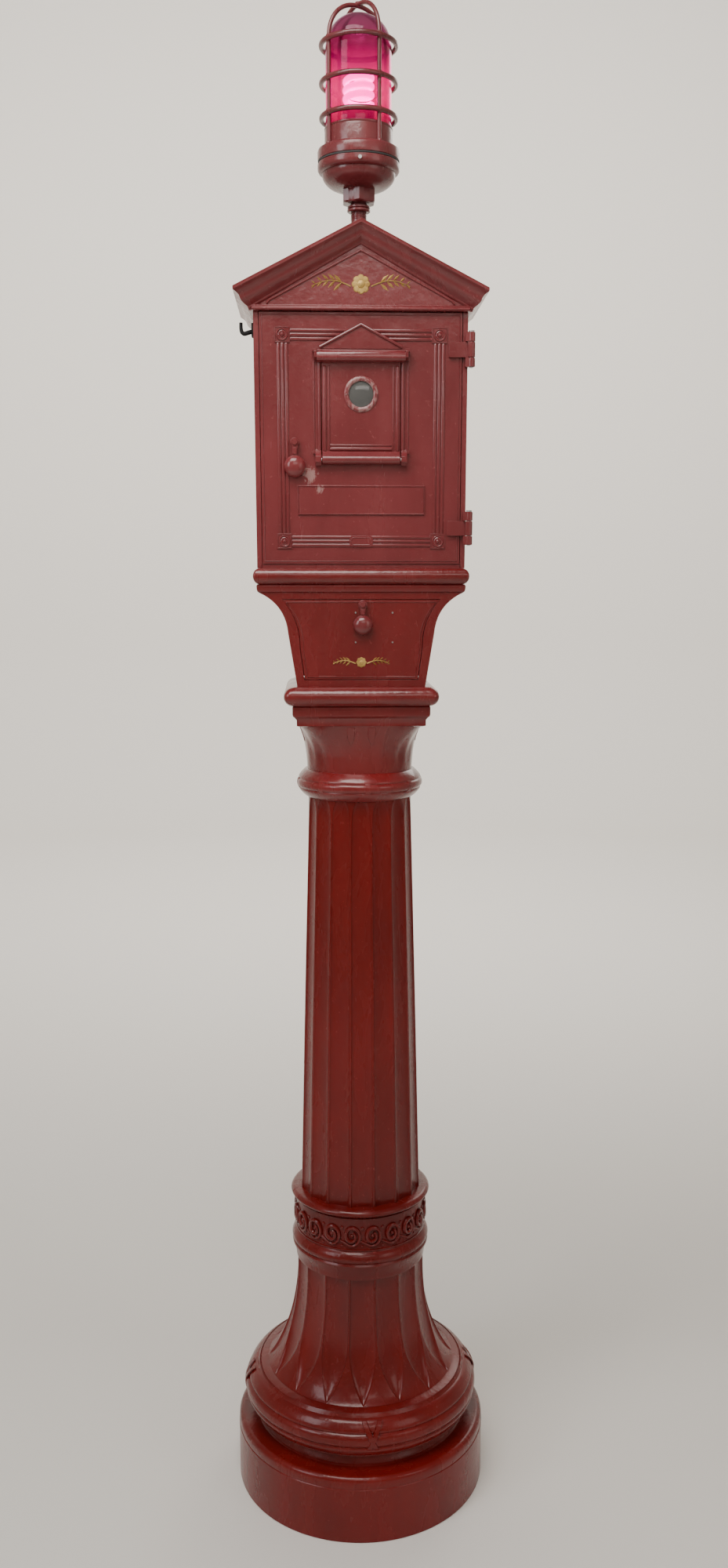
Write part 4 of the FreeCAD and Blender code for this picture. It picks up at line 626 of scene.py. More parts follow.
tops = {name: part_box(name)[1][2] / mm for name in ("plinth", "flared_base", "scroll_collar",
    "fluted_shaft", "neck_ring", "capital", "terminal_box", "box_shell")}
plinthTop, flareTop, collarTop, shaftTop, neckTop, capitalTop, termTop, boxTop = tops.values()

plinthSizes = {"radius": 202.8, "shoulder": 9.0, "edgeDrop": 19.0, "edgeDepth": 0.9, "wall": 13.0,
    "bore": 100.0, "step": 10.0}
baseSizes = {"foot": 171.0, "scotiaCut": 8.5, "scotiaTall": 20.0, "torusTop": 173.0, "torusRise": 23.0,
    "torusTall": 60.0, "bulge": 188.5, "reeds": 3, "reedDepth": 3.0, "neck": 102.7, "swell": 71.0,
    "reach": 185.0, "lineRadius": 165.5, "bore": 100.0, "stretch": 1.3}
flareFlutes = {"flutes": 16, "facets": 24, "rows": 110, "depth": 6.2, "land": 0.05, "landColumns": 1 / 6,
    "endDepth": 0.3, "startTurn": 180 / 16 + 90, "crowding": 1.45, "tipRise": 4.0, "lancet": 80.0}
tieSizes = {"turn": radians(4.0), "wide": 9.0, "proud": 0.6, "lean": 26.0, "inset": 2.0, "count": 4}
collarSizes = {"rim": 110.0, "friezeFoot": 47.0, "friezeRadius": 102.2, "friezeTall": 60.0,
    "plate": 111.0, "plateTall": 12.0, "bore": 60.0}
scrollSizes = {"count": 20, "wide": 13.8, "tall": 17.5, "bar": 3.1, "eye": 3.4, "bead": 2.8, "proud": 3.6,
    "start": 9.0, "steps": 35}
shaftFlutes = {"flutes": 16, "facets": 16, "rows": 60, "depth": 4.6, "land": 0.09, "landColumns": 1 / 8,
    "endDepth": 0.5, "startTurn": 180 / 16 + 90, "crowding": 1.0, "footRadius": 95.4, "topRadius": 77.4,
    "entasis": 0.5}
neckSizes = {"side": 79.6, "nose": 94.4, "reeds": 3, "reedDepth": 2.0, "bore": 60.0}
ribbonSizes = {"count": 8, "wide": 5.4, "lean": 11.0, "turn": 0.1, "proud": 0.1, "inset": 3.0}
capitalSizes = {"footRadius": 78.6, "half": 92.0, "tall": 71.0, "lowStep": 13.0, "highStep": 15.0,
    "slabHalf": 110.4, "slabTall": 28.0, "veins": 5, "veinDepth": 1.2, "columns": 192, "rows": 26,
    "leafSide": 15.0, "leafTall": 30.0}


def makePlinth():
    s = plinthSizes
    r, top, bend = s["radius"], plinthTop, s["shoulder"]
    groove, inner = top - s["edgeDrop"], s["radius"] - s["wall"]
    outline = [(inner, 0), (r - 1.0, 0), (r, 1.2), (r - 0.4, groove - 1.0),
        (r - 0.4 - s["edgeDepth"], groove), (r - 0.9, groove + 1.2)]
    outline += arc(r - 1.0 - bend, top - bend, bend, bend, 0, quarter, 7)
    outline += [(s["bore"], top), (s["bore"], top - s["step"]), (inner, top - s["step"])]
    finished("plinthRing", [turned(outline, 192)], columnRed, "plinth")


# Radius of the flare at a height: a quarter of an ellipse from neck to foot
def flareRadius(z, foot):
    s = baseSizes
    drop = min(max((foot + s["reach"] - z) / s["reach"], 0.0), 1.0)
    return s["neck"] + s["swell"] * (1 - sqrt(1 - (drop * 0.975) ** 2))


def makeBase():
    s, f = baseSizes, flareFlutes
    r, low, line, top = s["foot"], plinthTop + s["torusRise"], s["lineRadius"], flareTop
    high = low + s["torusTall"]
    foot = high + 4  # the flare stands on a thin line
    outline = [(s["bore"], plinthTop), (r, plinthTop), (r - 3, plinthTop + 2)]
    outline += bulge(r, plinthTop + 2, -s["scotiaCut"], s["scotiaTall"], 6)
    outline += [(r + 3, low), (r + 8.5, low + 1.2)]
    for t in spread(0, 1, 48)[1:]:  # torus of bound reeds: a bulge with soft valleys
        reed = 1 - abs(sin(pi * (s["reeds"] * t * 0.96 + 0.02)))
        outline.append((r + 8.5 + (s["torusTop"] - r - 8.5) * t + (s["bulge"] - r - 3.5)
            * sin(pi * t) ** 0.75 - s["reedDepth"] * reed ** 2.2, low + 1.2 + (s["torusTall"] - 1.2) * t))
    outline += [(s["torusTop"] - 3.2, high + 0.6), (s["torusTop"] - 5, high + 3.2),
        (line + 1.4, foot + 0.6), (line, foot - 0.8), (line - 1.4, foot + 0.9)]
    tip = foot + f["tipRise"]
    outline += [(flareRadius(tip, foot) + 0.2, tip - 0.4), (flareRadius(tip, foot) - 8, tip - 0.6),
        (s["bore"], tip - 0.6)]
    shares = [t ** s["stretch"] for t in spread(0, 1, 22)]
    radii = [(t, flareRadius(tip + (top - tip) * t, foot) * mm) for t in shares]
    opening = [(t, sin(min((top - tip) * t / f["lancet"], 1.0) * quarter) ** 0.8) for t in shares]
    wall = flutedWall("flareWall", f, tip, top - tip, radii, opening, columnRed)
    finished("baseCasting", [turned(outline, 192), wall], columnRed, "flared_base", 34)


# Flat ornament points (along, out, height) laid round a drum that faces the viewer
def bent(points, radius):
    return [((radius + away) * cos(along / radius - quarter),
        (radius + away) * sin(along / radius - quarter), z) for along, away, z in points]


def makeCollar():
    s, c = collarSizes, scrollSizes
    foot, rim, drum, edge, bore = flareTop, s["rim"], s["friezeRadius"], s["plate"], s["bore"]
    frieze = foot + s["friezeFoot"]
    plate = frieze + s["friezeTall"]
    outline = [(bore, foot), (103.2, foot), (103.8, foot + 3)]
    outline += [(103.8 + (rim - 105.0) * t ** 1.6, foot + 3 + 20 * t) for t in spread(0, 1, 8)[1:]]
    outline += [(rim - 0.6, foot + 26)] + bulge(rim - 3.6, foot + 27, 3.6, 17.5, 10)
    outline += [(rim - 4.2, frieze - 1.5), (drum + 1.4, frieze), (drum, frieze + 2.5),
        (drum, plate - 2.5), (drum + 2.0, plate - 0.4)]
    outline += bulge(edge - 4.5, plate, 4.5, s["plateTall"], 12)
    outline += [(edge - 6.5, collarTop), (bore, collarTop)]
    pitch = full * drum / c["count"]
    middle = frieze + s["friezeTall"] / 2 - 1.5
    wave = [(-pitch * 0.58, c["proud"] * 0.1, middle - c["tall"] * 0.52)]
    for t in spread(0, 1, c["steps"]):  # runs along the foot, round the curl and in to its eye
        a, shrink = radians(-128 + 560 * t), 1 - 0.70 * t ** 1.15
        wave.append((c["wide"] * shrink * cos(a), c["proud"] * (0.25 + 0.4 * t),
            middle + c["tall"] * shrink * sin(a)))
    eye = turned([(0, -1), (c["eye"], -1), (c["eye"] * 0.92, 1.8), (c["eye"] * 0.55, 3.4), (0, 4.0)], 16)
    scroll = [sweptBar(bent(wave, drum), lambda t: c["bar"] * (0.62 + 0.45 * sin(pi * t)), 9),
        placed(eye, 0, -drum, middle)]
    for z, size in ((middle + c["tall"] * 0.72, 1.25), (middle - c["tall"] * 0.98, 0.8)):
        r = c["bead"] * size
        bead = placed(turned([(0, -1), (r, -1), (r * 0.75, 1.3), (0, 2.0)], 12), 0, -drum, z)
        scroll.append(placed(bead, 0, 0, 0, 180 / c["count"], "Z"))
    lines = [turned([(drum - 1, z), (drum + 1.7, z + 0.9), (drum + 1.7, z + 2.3), (drum - 1, z + 3.2)])
        for z in (frieze + 2.4, plate - 5.4)]
    finished("scrollCollar", [turned(outline, 192), around(scroll, c["count"], columnRed,
        c["start"])] + lines, columnRed, "scroll_collar")


def makeShaft():
    f = shaftFlutes
    entasis = [(t, (f["footRadius"] + (f["topRadius"] - f["footRadius"]) * t + f["entasis"] * sin(pi * t))
        * mm) for t in spread(0, 1, 8)]
    opening = [(0, 1.0), (0.5, 1.0), (0.965, 1.0), (0.985, 0.86), (1.0, 0.55)]
    wall = flutedWall("shaftWall", f, collarTop, shaftTop - collarTop, entasis, opening, columnRed)
    finished("flutedShaft", [wall], columnRed, "fluted_shaft", 30)


# Two flat bands that cross on a round moulding and wrap it on the slant
def crossedRibbons(foot, tall, side, nose, s):
    ribbons = []
    for lean in (s["lean"], -s["lean"]):
        rings = []
        for t in spread(0, 1, 18):
            bulge = side + (nose - side) * sin(pi * t) ** 0.8
            centre = s["turn"] + lean * (t - 0.5) / nose - quarter
            rings.append([])
            for off, out in ((-s["wide"] / 2, -1.2), (-s["wide"] / 2 + 0.8, s["proud"]),
                    (s["wide"] / 2 - 0.8, s["proud"]), (s["wide"] / 2, -1.2)):
                a = centre + off / nose
                rings[-1].append(((bulge + out) * cos(a), (bulge + out) * sin(a), foot + tall * t))
        ribbons.append(lofted(rings))
    return ribbons


def makeNeck():
    s, b = neckSizes, ribbonSizes
    foot, tall, side = shaftTop, neckTop - shaftTop, s["side"]
    outline = [(s["bore"], foot), (side - 1.4, foot)]
    for t in spread(0, 1, 36):
        reed = (1 - abs(sin(pi * s["reeds"] * t))) ** 2.4 * sin(pi * t)
        outline.append((side + (s["nose"] - side) * sin(pi * (0.04 + 0.92 * t)) ** 0.85 - s["reedDepth"]
            * reed, foot + 1.5 + (tall - 3) * t))
    outline += [(side - 1.0, neckTop), (s["bore"], neckTop)]
    ties = crossedRibbons(foot + b["inset"], tall - 2 * b["inset"], side - 1, s["nose"] + 0.2, b)
    finished("neckRing", [turned(outline, 176), around(ties, b["count"], red)], red, "neck_ring", 38)


# Bell of the capital: round at its foot, a square with swept corner leaves at its head
def bellPoint(a, t):
    s = capitalSizes
    base = s["footRadius"] + 3.0 * t
    c, n = abs(cos(a)), abs(sin(a))
    square = min(s["half"] / max(c, n), s["half"] / (c ** 9 + n ** 9) ** (1 / 9))  # soft corners
    late = max(0.0, (t - 0.30) / 0.70) ** 2.0
    corner = 1 - abs(((a / quarter) % 1.0) - 0.5) * 2  # 1 at a corner, 0 on a face
    r = base + (square - base) * (t ** 2.6 * (1 - corner) + late * corner)
    veins = cos(corner * pi * s["veins"]) * sin(pi * t) ** 0.7
    return r + corner ** 1.5 * s["veinDepth"] * veins * 0.8


# Upright pointed tongues cut in low relief round the head of the bell
def leafRow(head):
    s = capitalSizes
    foot, tongues = head - s["leafTall"], []
    outline = [(0, 0), (5.5, 9), (7.2, 19), (7.2, 27), (-7.2, 27), (-7.2, 19), (-5.5, 9)]
    for side in (-s["leafSide"], s["leafSide"]):
        rings = []
        for out, shrink in ((-2.0, 1.0), (0.9, 0.72)):
            rings.append([])
            for x, z in outline:
                a = atan2(-s["footRadius"], side + x * shrink)
                t = (foot + z - neckTop) / s["tall"]
                rings[-1].append((side + x * shrink, -bellPoint(a, t) * abs(sin(a)) - out, foot + z))
        tongues.append(lofted(rings))
    return around(tongues, 4, red)


# A square moulding: each (half width, height) is a rounded square, stacked and capped
def squareStack(profile, corner, deeper=0.0):
    rings = []
    for wide, z in profile:
        square = rounded(rectangle(-wide, wide, -wide - deeper, wide + deeper),
            max(1.0, min(corner, wide * 0.2)))
        rings.append([(x, y, z) for x, y in square])
    return lofted(rings)


def makeCapital():
    s = capitalSizes
    head, wide, edge, nose = neckTop + s["tall"], s["half"], s["slabHalf"], s["slabTall"] / 2
    high = head + s["lowStep"] + s["highStep"]
    bell = lofted([[(bellPoint(a, t) * cos(a), bellPoint(a, t) * sin(a), neckTop + s["tall"] * t)
        for a in spread(0, full, s["columns"])[:-1]] for t in spread(0, 1, s["rows"])])
    steps = squareStack(shifted([(-3, -1.5), (0.5, 0), (0.6, s["lowStep"] - 5), (3.5, s["lowStep"] - 1),
        (5.8, s["lowStep"] + 1), (6.4, s["lowStep"] + 4), (6.4, high - head - 1),
        (5.0, high - head + 0.4)], wide, head), 3.0)
    curve = arc(edge - nose, high + nose, nose, nose, -quarter, quarter, 14)[1:-1]
    slab = squareStack([(edge - nose - 1, high)] + curve + [(edge - nose - 1, capitalTop)], 11.0)
    finished("columnCapital", [bell, steps, slab, leafRow(head)], red, "capital")


# Crossed ribbon that binds the reeds of the base, a little right of the middle
def makeTorusTie():
    s, t = baseSizes, tieSizes
    ties = crossedRibbons(plinthTop + s["torusRise"] + t["inset"], s["torusTall"] - t["inset"],
        s["foot"] + 6, s["bulge"] + 2.6, t)
    finished("baseTie", [around(ties, t["count"], columnRed)], columnRed)


makePlinth()
makeBase()
print("plinth and flared base made")
makeCollar()
makeShaft()
makeNeck()
makeCapital()
makeTorusTie()
print("collar, shaft, neck ring and capital made")


termSizes = {"foot": 91.0, "knee": 103.0, "head": 144.0, "low": 0.0, "kneeRise": 74.0, "high": 131.0,
    "sweep": 10.5, "half": 91.0, "wall": 8.0, "slabHalf": 151.0, "slabDeep": 101.0, "slabTall": 22.0}
termDoor = {"foot": 80.0, "knee": 86.0, "head": 110.5, "low": 10.0, "kneeRise": 55.0, "high": 121.0,
    "sweep": 7.0, "face": -90.6, "back": -84.0, "keyX": 2.0, "keyRise": 86.0, "keyR": 8.05,
    "screwX": (-8.0, 44.0), "screwRises": (103.0, 62.0), "ornamentRise": 34.0, "knuckleX": (-60.0, 36.0),
    "pinY": -87.5, "pinRise": 13.5}
coverSizes = {"eye": 5.6, "arm": 3.6, "plate": 3.0, "screw": 4.2, "stand": 3.35}
shellSizes = {"half": 145.0, "halfDeep": 87.5, "wall": 7.0, "inner": 138.0, "cableR": 44.0}
hingeSizes = {"rises": (288.0, 53.9), "x": 149.5, "y": -93.0, "radius": 5.0, "bore": 2.55, "gap": 10.2,
    "end": 22.3, "strap": 9.8}
roofSizes = {"half": 170.5, "eaveRise": 27.0, "apexRise": 111.0, "front": 112.5, "back": 87.5,
    "cornice": 146.5}
hookSizes = {"x": -145.0, "y": -66.0, "rise": 314.0, "wire": 3.2}
doorSizes = {"half": 137.2, "foot": 6.0, "head": 335.2, "face": -89.0, "back": -80.0, "bandX": 106.4,
    "lowBand": 36.5, "highBand": 306.4, "reedPitch": 5.4, "reedR": 2.4, "rosetteHalf": 10.5,
    "plateHalf": 88.2, "plateLow": 71.6, "plateHigh": 111.8, "holeHalf": 54.3, "holeLow": 152.2,
    "holeHigh": 273.8, "gableHalf": 54.5, "gableLow": 290.5, "gableHigh": 320.0, "keyX": -91.0,
    "keyRise": 136.0, "keyR": 8.15}
quickSizes = {"half": 53.5, "low": 153.0, "high": 273.0, "face": -91.0, "back": -83.0, "window": 230.4,
    "glassR": 17.8, "bezelR": 23.4, "screwX": 20.8, "pinRise": 145.0, "pinY": -95.5, "rollR": 6.2,
    "rollHalf": 53.6, "hoodHalf": 62.5}


# A foot, a knee and a head joined by a bowed line, mirrored; grow widens it all round
def flaredOutline(s, z0, grow=0.0):
    x0, x1 = s["knee"] + grow, s["head"] + grow
    low, high = z0 + s["kneeRise"], z0 + s["high"] + grow
    right = [(s["foot"] + grow, z0 + s["low"] - grow), (x0, low)]
    for t in spread(0, 1, 10)[1:]:
        off = 4 * s["sweep"] * t * (1 - t) / hypot(x1 - x0, high - low)
        right.append((x0 + (x1 - x0) * t - (high - low) * off, low + (high - low) * t + (x1 - x0) * off))
    return right + [(-x, z) for x, z in reversed(right)]


def makeTerminalBox():
    s, z0 = termSizes, capitalTop
    deep, wall, head, edge, nose = s["half"], s["wall"], s["head"], s["slabHalf"], s["slabTall"] / 2
    top, slabZ = z0 + s["high"], termTop - s["slabTall"]
    outline = flaredOutline(s, z0)
    inner = flaredOutline(dict(s, high=s["high"] + wall), z0, -wall)
    shell = [slabOf(outline, deep - wall, deep), plateWithHoles(outline, [inner], wall - deep,
        deep - wall), plateWithHoles(outline, [flaredOutline(termDoor, z0, 0.8)], -deep, wall - deep)]
    fillet = squareStack([(head - 2, top - 1), (head + 1.2, top + 1), (head + 2.2, top + 4),
        (head + 2.6, slabZ - 2), (head + 1.0, slabZ)], 2.0, deep - head + 1)
    curve = arc(edge - nose * 0.8, slabZ + nose, nose * 0.8, nose, -quarter, quarter, 12)[1:-1]
    slab = squareStack([(edge - 9, slabZ)] + curve + [(edge - 9, termTop)], 4.0, s["slabDeep"] - edge)
    finished("terminalHousing", shell + [fillet, slab], red, "terminal_box", 30, 0.9)


# A cheese-head screw
def screwHead(x, z, y, r, proud):
    profile = [(0, -0.6), (r, -0.6), (r, proud * 0.6), (r * 0.8, proud), (0, proud)]
    return placed(turned(profile, 16), x, y, z)


# A generic gilt spray: a rosette between two branches of leaves
def leafSpray(centreZ, y, span, tall):
    eye = [(0, -0.4), (tall * 0.12, -0.4), (tall * 0.1, 1.6), (tall * 0.05, 2.2), (0, 2.4)]
    pieces = [placed(turned(eye, 14), 0, y, centreZ)]
    for x, z in circle(0, centreZ, tall * 0.17, 8):
        petal = turned([(0, -0.4), (tall * 0.11, -0.4), (tall * 0.085, 0.8), (0, 1.2)], 10)
        pieces.append(placed(petal, x, y, z))

    def stemAt(side, t):
        return (side * (tall * 0.3 + (span - tall * 0.3) * t),
            centreZ + tall * (0.16 * sin(pi * t) - 0.06))
    for side in (-1, 1):
        pieces.append(beading([stemAt(side, t) for t in spread(0, 1, 10)], y - 0.2,
            lambda t: 0.9 * (1 - 0.5 * t), closed=False))
        for k in range(5):
            x, z = stemAt(side, 0.22 + k * 0.17)
            size = tall * (0.36 - 0.045 * k)
            for up in (-1, 1):
                along, rise = size * side * 0.75, up * size * 0.66
                share = size * 0.15 / hypot(along, rise)
                nx, nz, midX, midZ = -rise * share, along * share, x + along / 2, z + rise / 2
                leaf = [(x, y + 0.3, z), (midX + nx, y + 0.3, midZ + nz), (x + along, y + 0.3, z + rise),
                    (midX - nx, y + 0.3, midZ - nz), (midX, y - 1.3, midZ), (x, y - 0.7, z)]
                pieces.append(meshOf(leaf, [(0, 1, 2, 3), (0, 5, 4, 1), (1, 4, 2), (2, 4, 3),
                    (3, 4, 5, 0)]))
    return pieces


def makeTerminalDoor():
    d, z0, body = termDoor, capitalTop, "terminal_door"
    hole = circle(d["keyX"], z0 + d["keyRise"], d["keyR"], 24)
    inset = flaredOutline(dict(d, head=d["head"] - 1.8), z0, -3.4)
    finished("terminalPanel", [plateWithHoles(flaredOutline(d, z0), [hole], d["face"], d["back"]),
        beading(inset, d["face"] - 0.1, 0.9)], red, body, 30, 0.5, body)
    finished("terminalScrews", [screwHead(x, z0 + rise, d["face"], 1.3, 0.9) for x in d["screwX"]
        for rise in d["screwRises"]], slots["steel"], None, 30, body=body)
    barrel = [(2.1, 0), (3.4, 0), (3.4, 1), (3.4, 23), (3.4, 24), (2.1, 24)]
    finished("terminalKnuckles", [placed(turned(barrel, 20), x, d["pinY"], z0 + d["pinRise"], axis="Y")
        for x in d["knuckleX"]], red, None, 30, body=body)
    finished("terminalSpray", leafSpray(z0 + d["ornamentRise"], d["face"] - 0.1, 40, 27), gold, None, 30,
        body=body)


# A drop cover that hangs over a key hole, with its screw on the door behind it
def makeDropCover(name, x, pivotZ, face, drop, bulb, stands, screwName, door, screwStands):
    s = coverSizes
    back, arm = face - s["stand"], s["arm"]
    front = back - s["plate"]
    outline = arc(0, 0, s["eye"], s["eye"], radians(-40), radians(220), 12)  # eye at the head
    outline += [(-arm, -drop * 0.34), (-arm * 0.92, -drop + bulb * 0.9), (arm * 0.92, -drop + bulb * 0.9),
        (arm, -drop * 0.34)]
    profile = [(0, 0), (bulb, 0), (bulb, 0.9)]
    profile += arc(0, 0.9, bulb, bulb * 0.74, 0, quarter, 10, 0.85)[1:-1]
    profile += [(bulb * 0.12, 0.9 + bulb * 0.742), (0, 0.9 + bulb * 0.742)]
    finished(name, [slabOf(shifted(outline, x, pivotZ), front, back),
        placed(turned(profile, 40), x, back, pivotZ - drop),
        block(x - 2.4, x + 2.4, front - 1.6, back - 0.5, pivotZ - drop * 0.5, pivotZ - drop * 0.22)],
        doorRed, stands, 32, 0.5, stands)
    shank = turned([(0, 0), (2.3, 0), (2.3, 9.5), (0, 9.5)], 16)
    washer = turned([(2.45, 0), (6.5, 0), (6.5, 2.6), (5.8, 3.2), (2.45, 3.2)], 28)
    finished(screwName, [screwHead(x, pivotZ, front - 0.05, s["screw"], 2.0),
        placed(shank, x, back + 6.0, pivotZ), placed(washer, x, face, pivotZ)], doorRed, screwStands, 32,
        body=door)


def knuckleBarrel(low, high):
    h = hingeSizes
    r, bore = h["radius"], h["bore"]
    return turned([(bore, low), (r - 0.7, low), (r, low + 0.7), (r, high - 0.7), (r - 0.7, high),
        (bore, high)], 28, (h["x"], h["y"]))


def makeShell():
    s, h, z0 = shellSizes, hingeSizes, termTop
    inner, side, deep, wall = s["inner"], s["half"], s["halfDeep"], s["wall"]
    reach = inner + 1  # floor, back and lip run a little into the side walls
    keeper = block(1.5 - side, 2 - inner, -77, -64.5, z0 + 126.5, z0 + 145.5, 0.2)  # blind, for the bolt
    cableHole = turned([(0, z0 - 5), (s["cableR"], z0 - 5), (s["cableR"], z0 + 20), (0, z0 + 20)], 64)
    pieces = [cutOut(block(-side, -inner, -deep, deep, z0, boxTop, 0.6), keeper),
        block(inner, side, -deep, deep, z0, boxTop, 0.6), block(-reach, reach, deep - wall, deep, z0,
        boxTop, 0.6), block(-reach, reach, -deep, wall - deep, z0, z0 + 5.4, 0.5),
        cutOut(block(-reach, reach, 2 - deep, deep - wall + 1, z0, z0 + wall, 0.6), cableHole)]
    for mid in (z0 + rise for rise in h["rises"]):
        for low, high in ((mid - h["end"], mid - h["gap"]), (mid + h["gap"], mid + h["end"])):
            pieces += [knuckleBarrel(low, high), block(141.0, 146.5, -96.6, -86.0, low, high, 0.8)]
    finished("alarmBoxShell", pieces, shellRed, "box_shell", 30, 0.7)


# Crown moulding of the gable: how far it steps in from its top edge, at each depth below it
def crownProfile():
    wave = [(1.4 + 15.6 * (t + sin(full * t) * 0.11), 4.8 + 15.4 * t) for t in spread(0, 1, 12)]
    return ([(0, 0), (0.2, 0.5), (0.2, 4.0), (1.0, 4.6)] + wave + [(17.8, 20.8), (19.0, 21.6),
        (19.2, 23.4), (20.6, 24.6), (24, 25), (28, 25), (28, 0)])


def makeRoof():
    s, z0 = roofSizes, boxTop
    side, eave, apex, back = s["half"], z0 + s["eaveRise"], z0 + s["apexRise"], s["back"]
    slope, section = atan2(apex - eave, side), crownProfile()
    rows = []
    for x, z, fall in ((-side, eave, 1.04), (0, apex, 1 / cos(slope)), (side, eave, 1.04)):
        rows.append([(x - copysign(inset, x) if x else 0, inset * 25 / 24 - s["front"], z - down * fall)
            for inset, down in section])
    rows = [[(x, back - 0.4, z) for x, _, z in rows[0]]] + rows + [[(x, back - 0.4, z)
        for x, _, z in rows[2]]]
    house = [(side - 0.4, eave - 0.3), (0, apex - 0.3), (0.4 - side, eave - 0.3), (10 - side, eave - 8),
        (-144.5, z0 + 2), (-144.5, z0), (144.5, z0), (144.5, z0 + 2), (side - 10, eave - 8)]
    foot = side - 20
    frame = [(foot, z0 + 0.4), (foot, z0 + 2.4), (0, apex - 27.0), (-foot, z0 + 2.4), (-foot, z0 + 0.4)]
    inner = [(24 - foot, z0 + 9.6), (28 - foot, z0 + 13.8), (0, apex - 34.6), (foot - 28, z0 + 13.8),
        (foot - 24, z0 + 9.6)]
    level = [(0, 0.3), (-9.4, 0.3), (-11, 1.2), (-11.6, 2.8), (-10.8, 4.2), (-8.6, 4.8), (-8, 5.6),
             (-8.2, 7), (-6.8, 8), (-3.4, 8.8), (0, 9.2)]
    cornice = sideSlab(shifted(level, -85.5, z0), -s["cornice"], s["cornice"])
    finished("gableRoof", [lofted(rows), slabOf(house, -86.5, back - 0.2), slabOf(frame, -90.2, -85.0),
        beading(inner, -90.4, 1.9, 8, False), cornice], shellRed, "box_roof", 32, 0.5)
    finished("gableSpray", leafSpray(z0 + 34, -90.3, 66, 46), gold, soft=30)
    collar = [(10.72, -6.2), (17, -8), (15.6, -4.2), (12.6, -1.2), (10.72, -0.6)]
    finished("ridgeCollar", [turned(shifted(collar, 0, apex), 40)], shellRed)


def makeHook():
    s = hookSizes
    x, y, z = s["x"], s["y"], termTop + s["rise"]
    path = [Vector((x + out, y, z + up)) for out, up in ((1, 0), (-7, -1.5), (-13, -4), (-16.5, -1.5),
        (-17.4, 4), (-17.2, 11))]
    fine = [a.lerp(b, k / 4) for a, b in zip(path, path[1:]) for k in range(4)] + path[-1:]
    for _ in range(4):
        fine = fine[:1] + [(a + b * 2 + c) / 4 for a, b, c in zip(fine, fine[1:], fine[2:])] + fine[-1:]
    foot = placed(block(y - 6.5, y + 6.5, 0, 3, z - 8, z + 10, 2.0), x, 0, 0, axis="Z")
    finished("eaveHook", [sweptBar(fine, lambda t: s["wire"] * (1.0 - 0.25 * t), 12), foot],
        slots["black_iron"], "eave_hook", bevel=0.5)


# A half-round reed with closed ends, along x or along z, standing proud of a face
def reedBar(length, radius, upright, x, z, face, proud):
    section = [(radius * cos(a), -proud * sin(a) ** 0.8) for a in spread(0, pi, 8)]
    section += [(-radius, 0.6), (radius, 0.6)]
    rings = []
    for end, squeeze in ((0, 0.55), (radius * 0.7, 1.0), (length - radius * 0.7, 1.0), (length, 0.55)):
        rings.append([(x + off, face + out * (squeeze if out < 0 else 1),
            z + end) if upright else (x + end, face + out * (squeeze if out < 0 else 1), z - off)
            for off, out in section])
    return lofted(rings)


def rosette(x, z, face):
    out = doorSizes["rosetteHalf"]
    inner = out - 1.4
    dish = turned([(0, -0.4), (8.2, -0.4), (8.0, 1.0), (7.1, 1.7), (6.2, 1.0), (5.6, 0.4), (4.6, 0.8),
        (3.9, 1.5), (3.2, 0.9), (2.7, 0.7), (2.3, 1.8), (1.4, 2.5), (0, 2.7)], 32)
    return [block(x - out, x + out, face - 1.3, face + 0.6, z - out, z + out, 0.9),
        beading(rectangle(x - inner, x + inner, z - inner, z + inner), face - 1.3, 0.8),
        placed(dish, x, face - 1.2, z)]


def lozenge(side, tall, z):
    right = [(side, z), (side - 3.2, z + tall)]
    return right + [(3.2 - side, z + tall), (-side, z), (3.2 - side, z - tall), (side - 3.2, z - tall)]


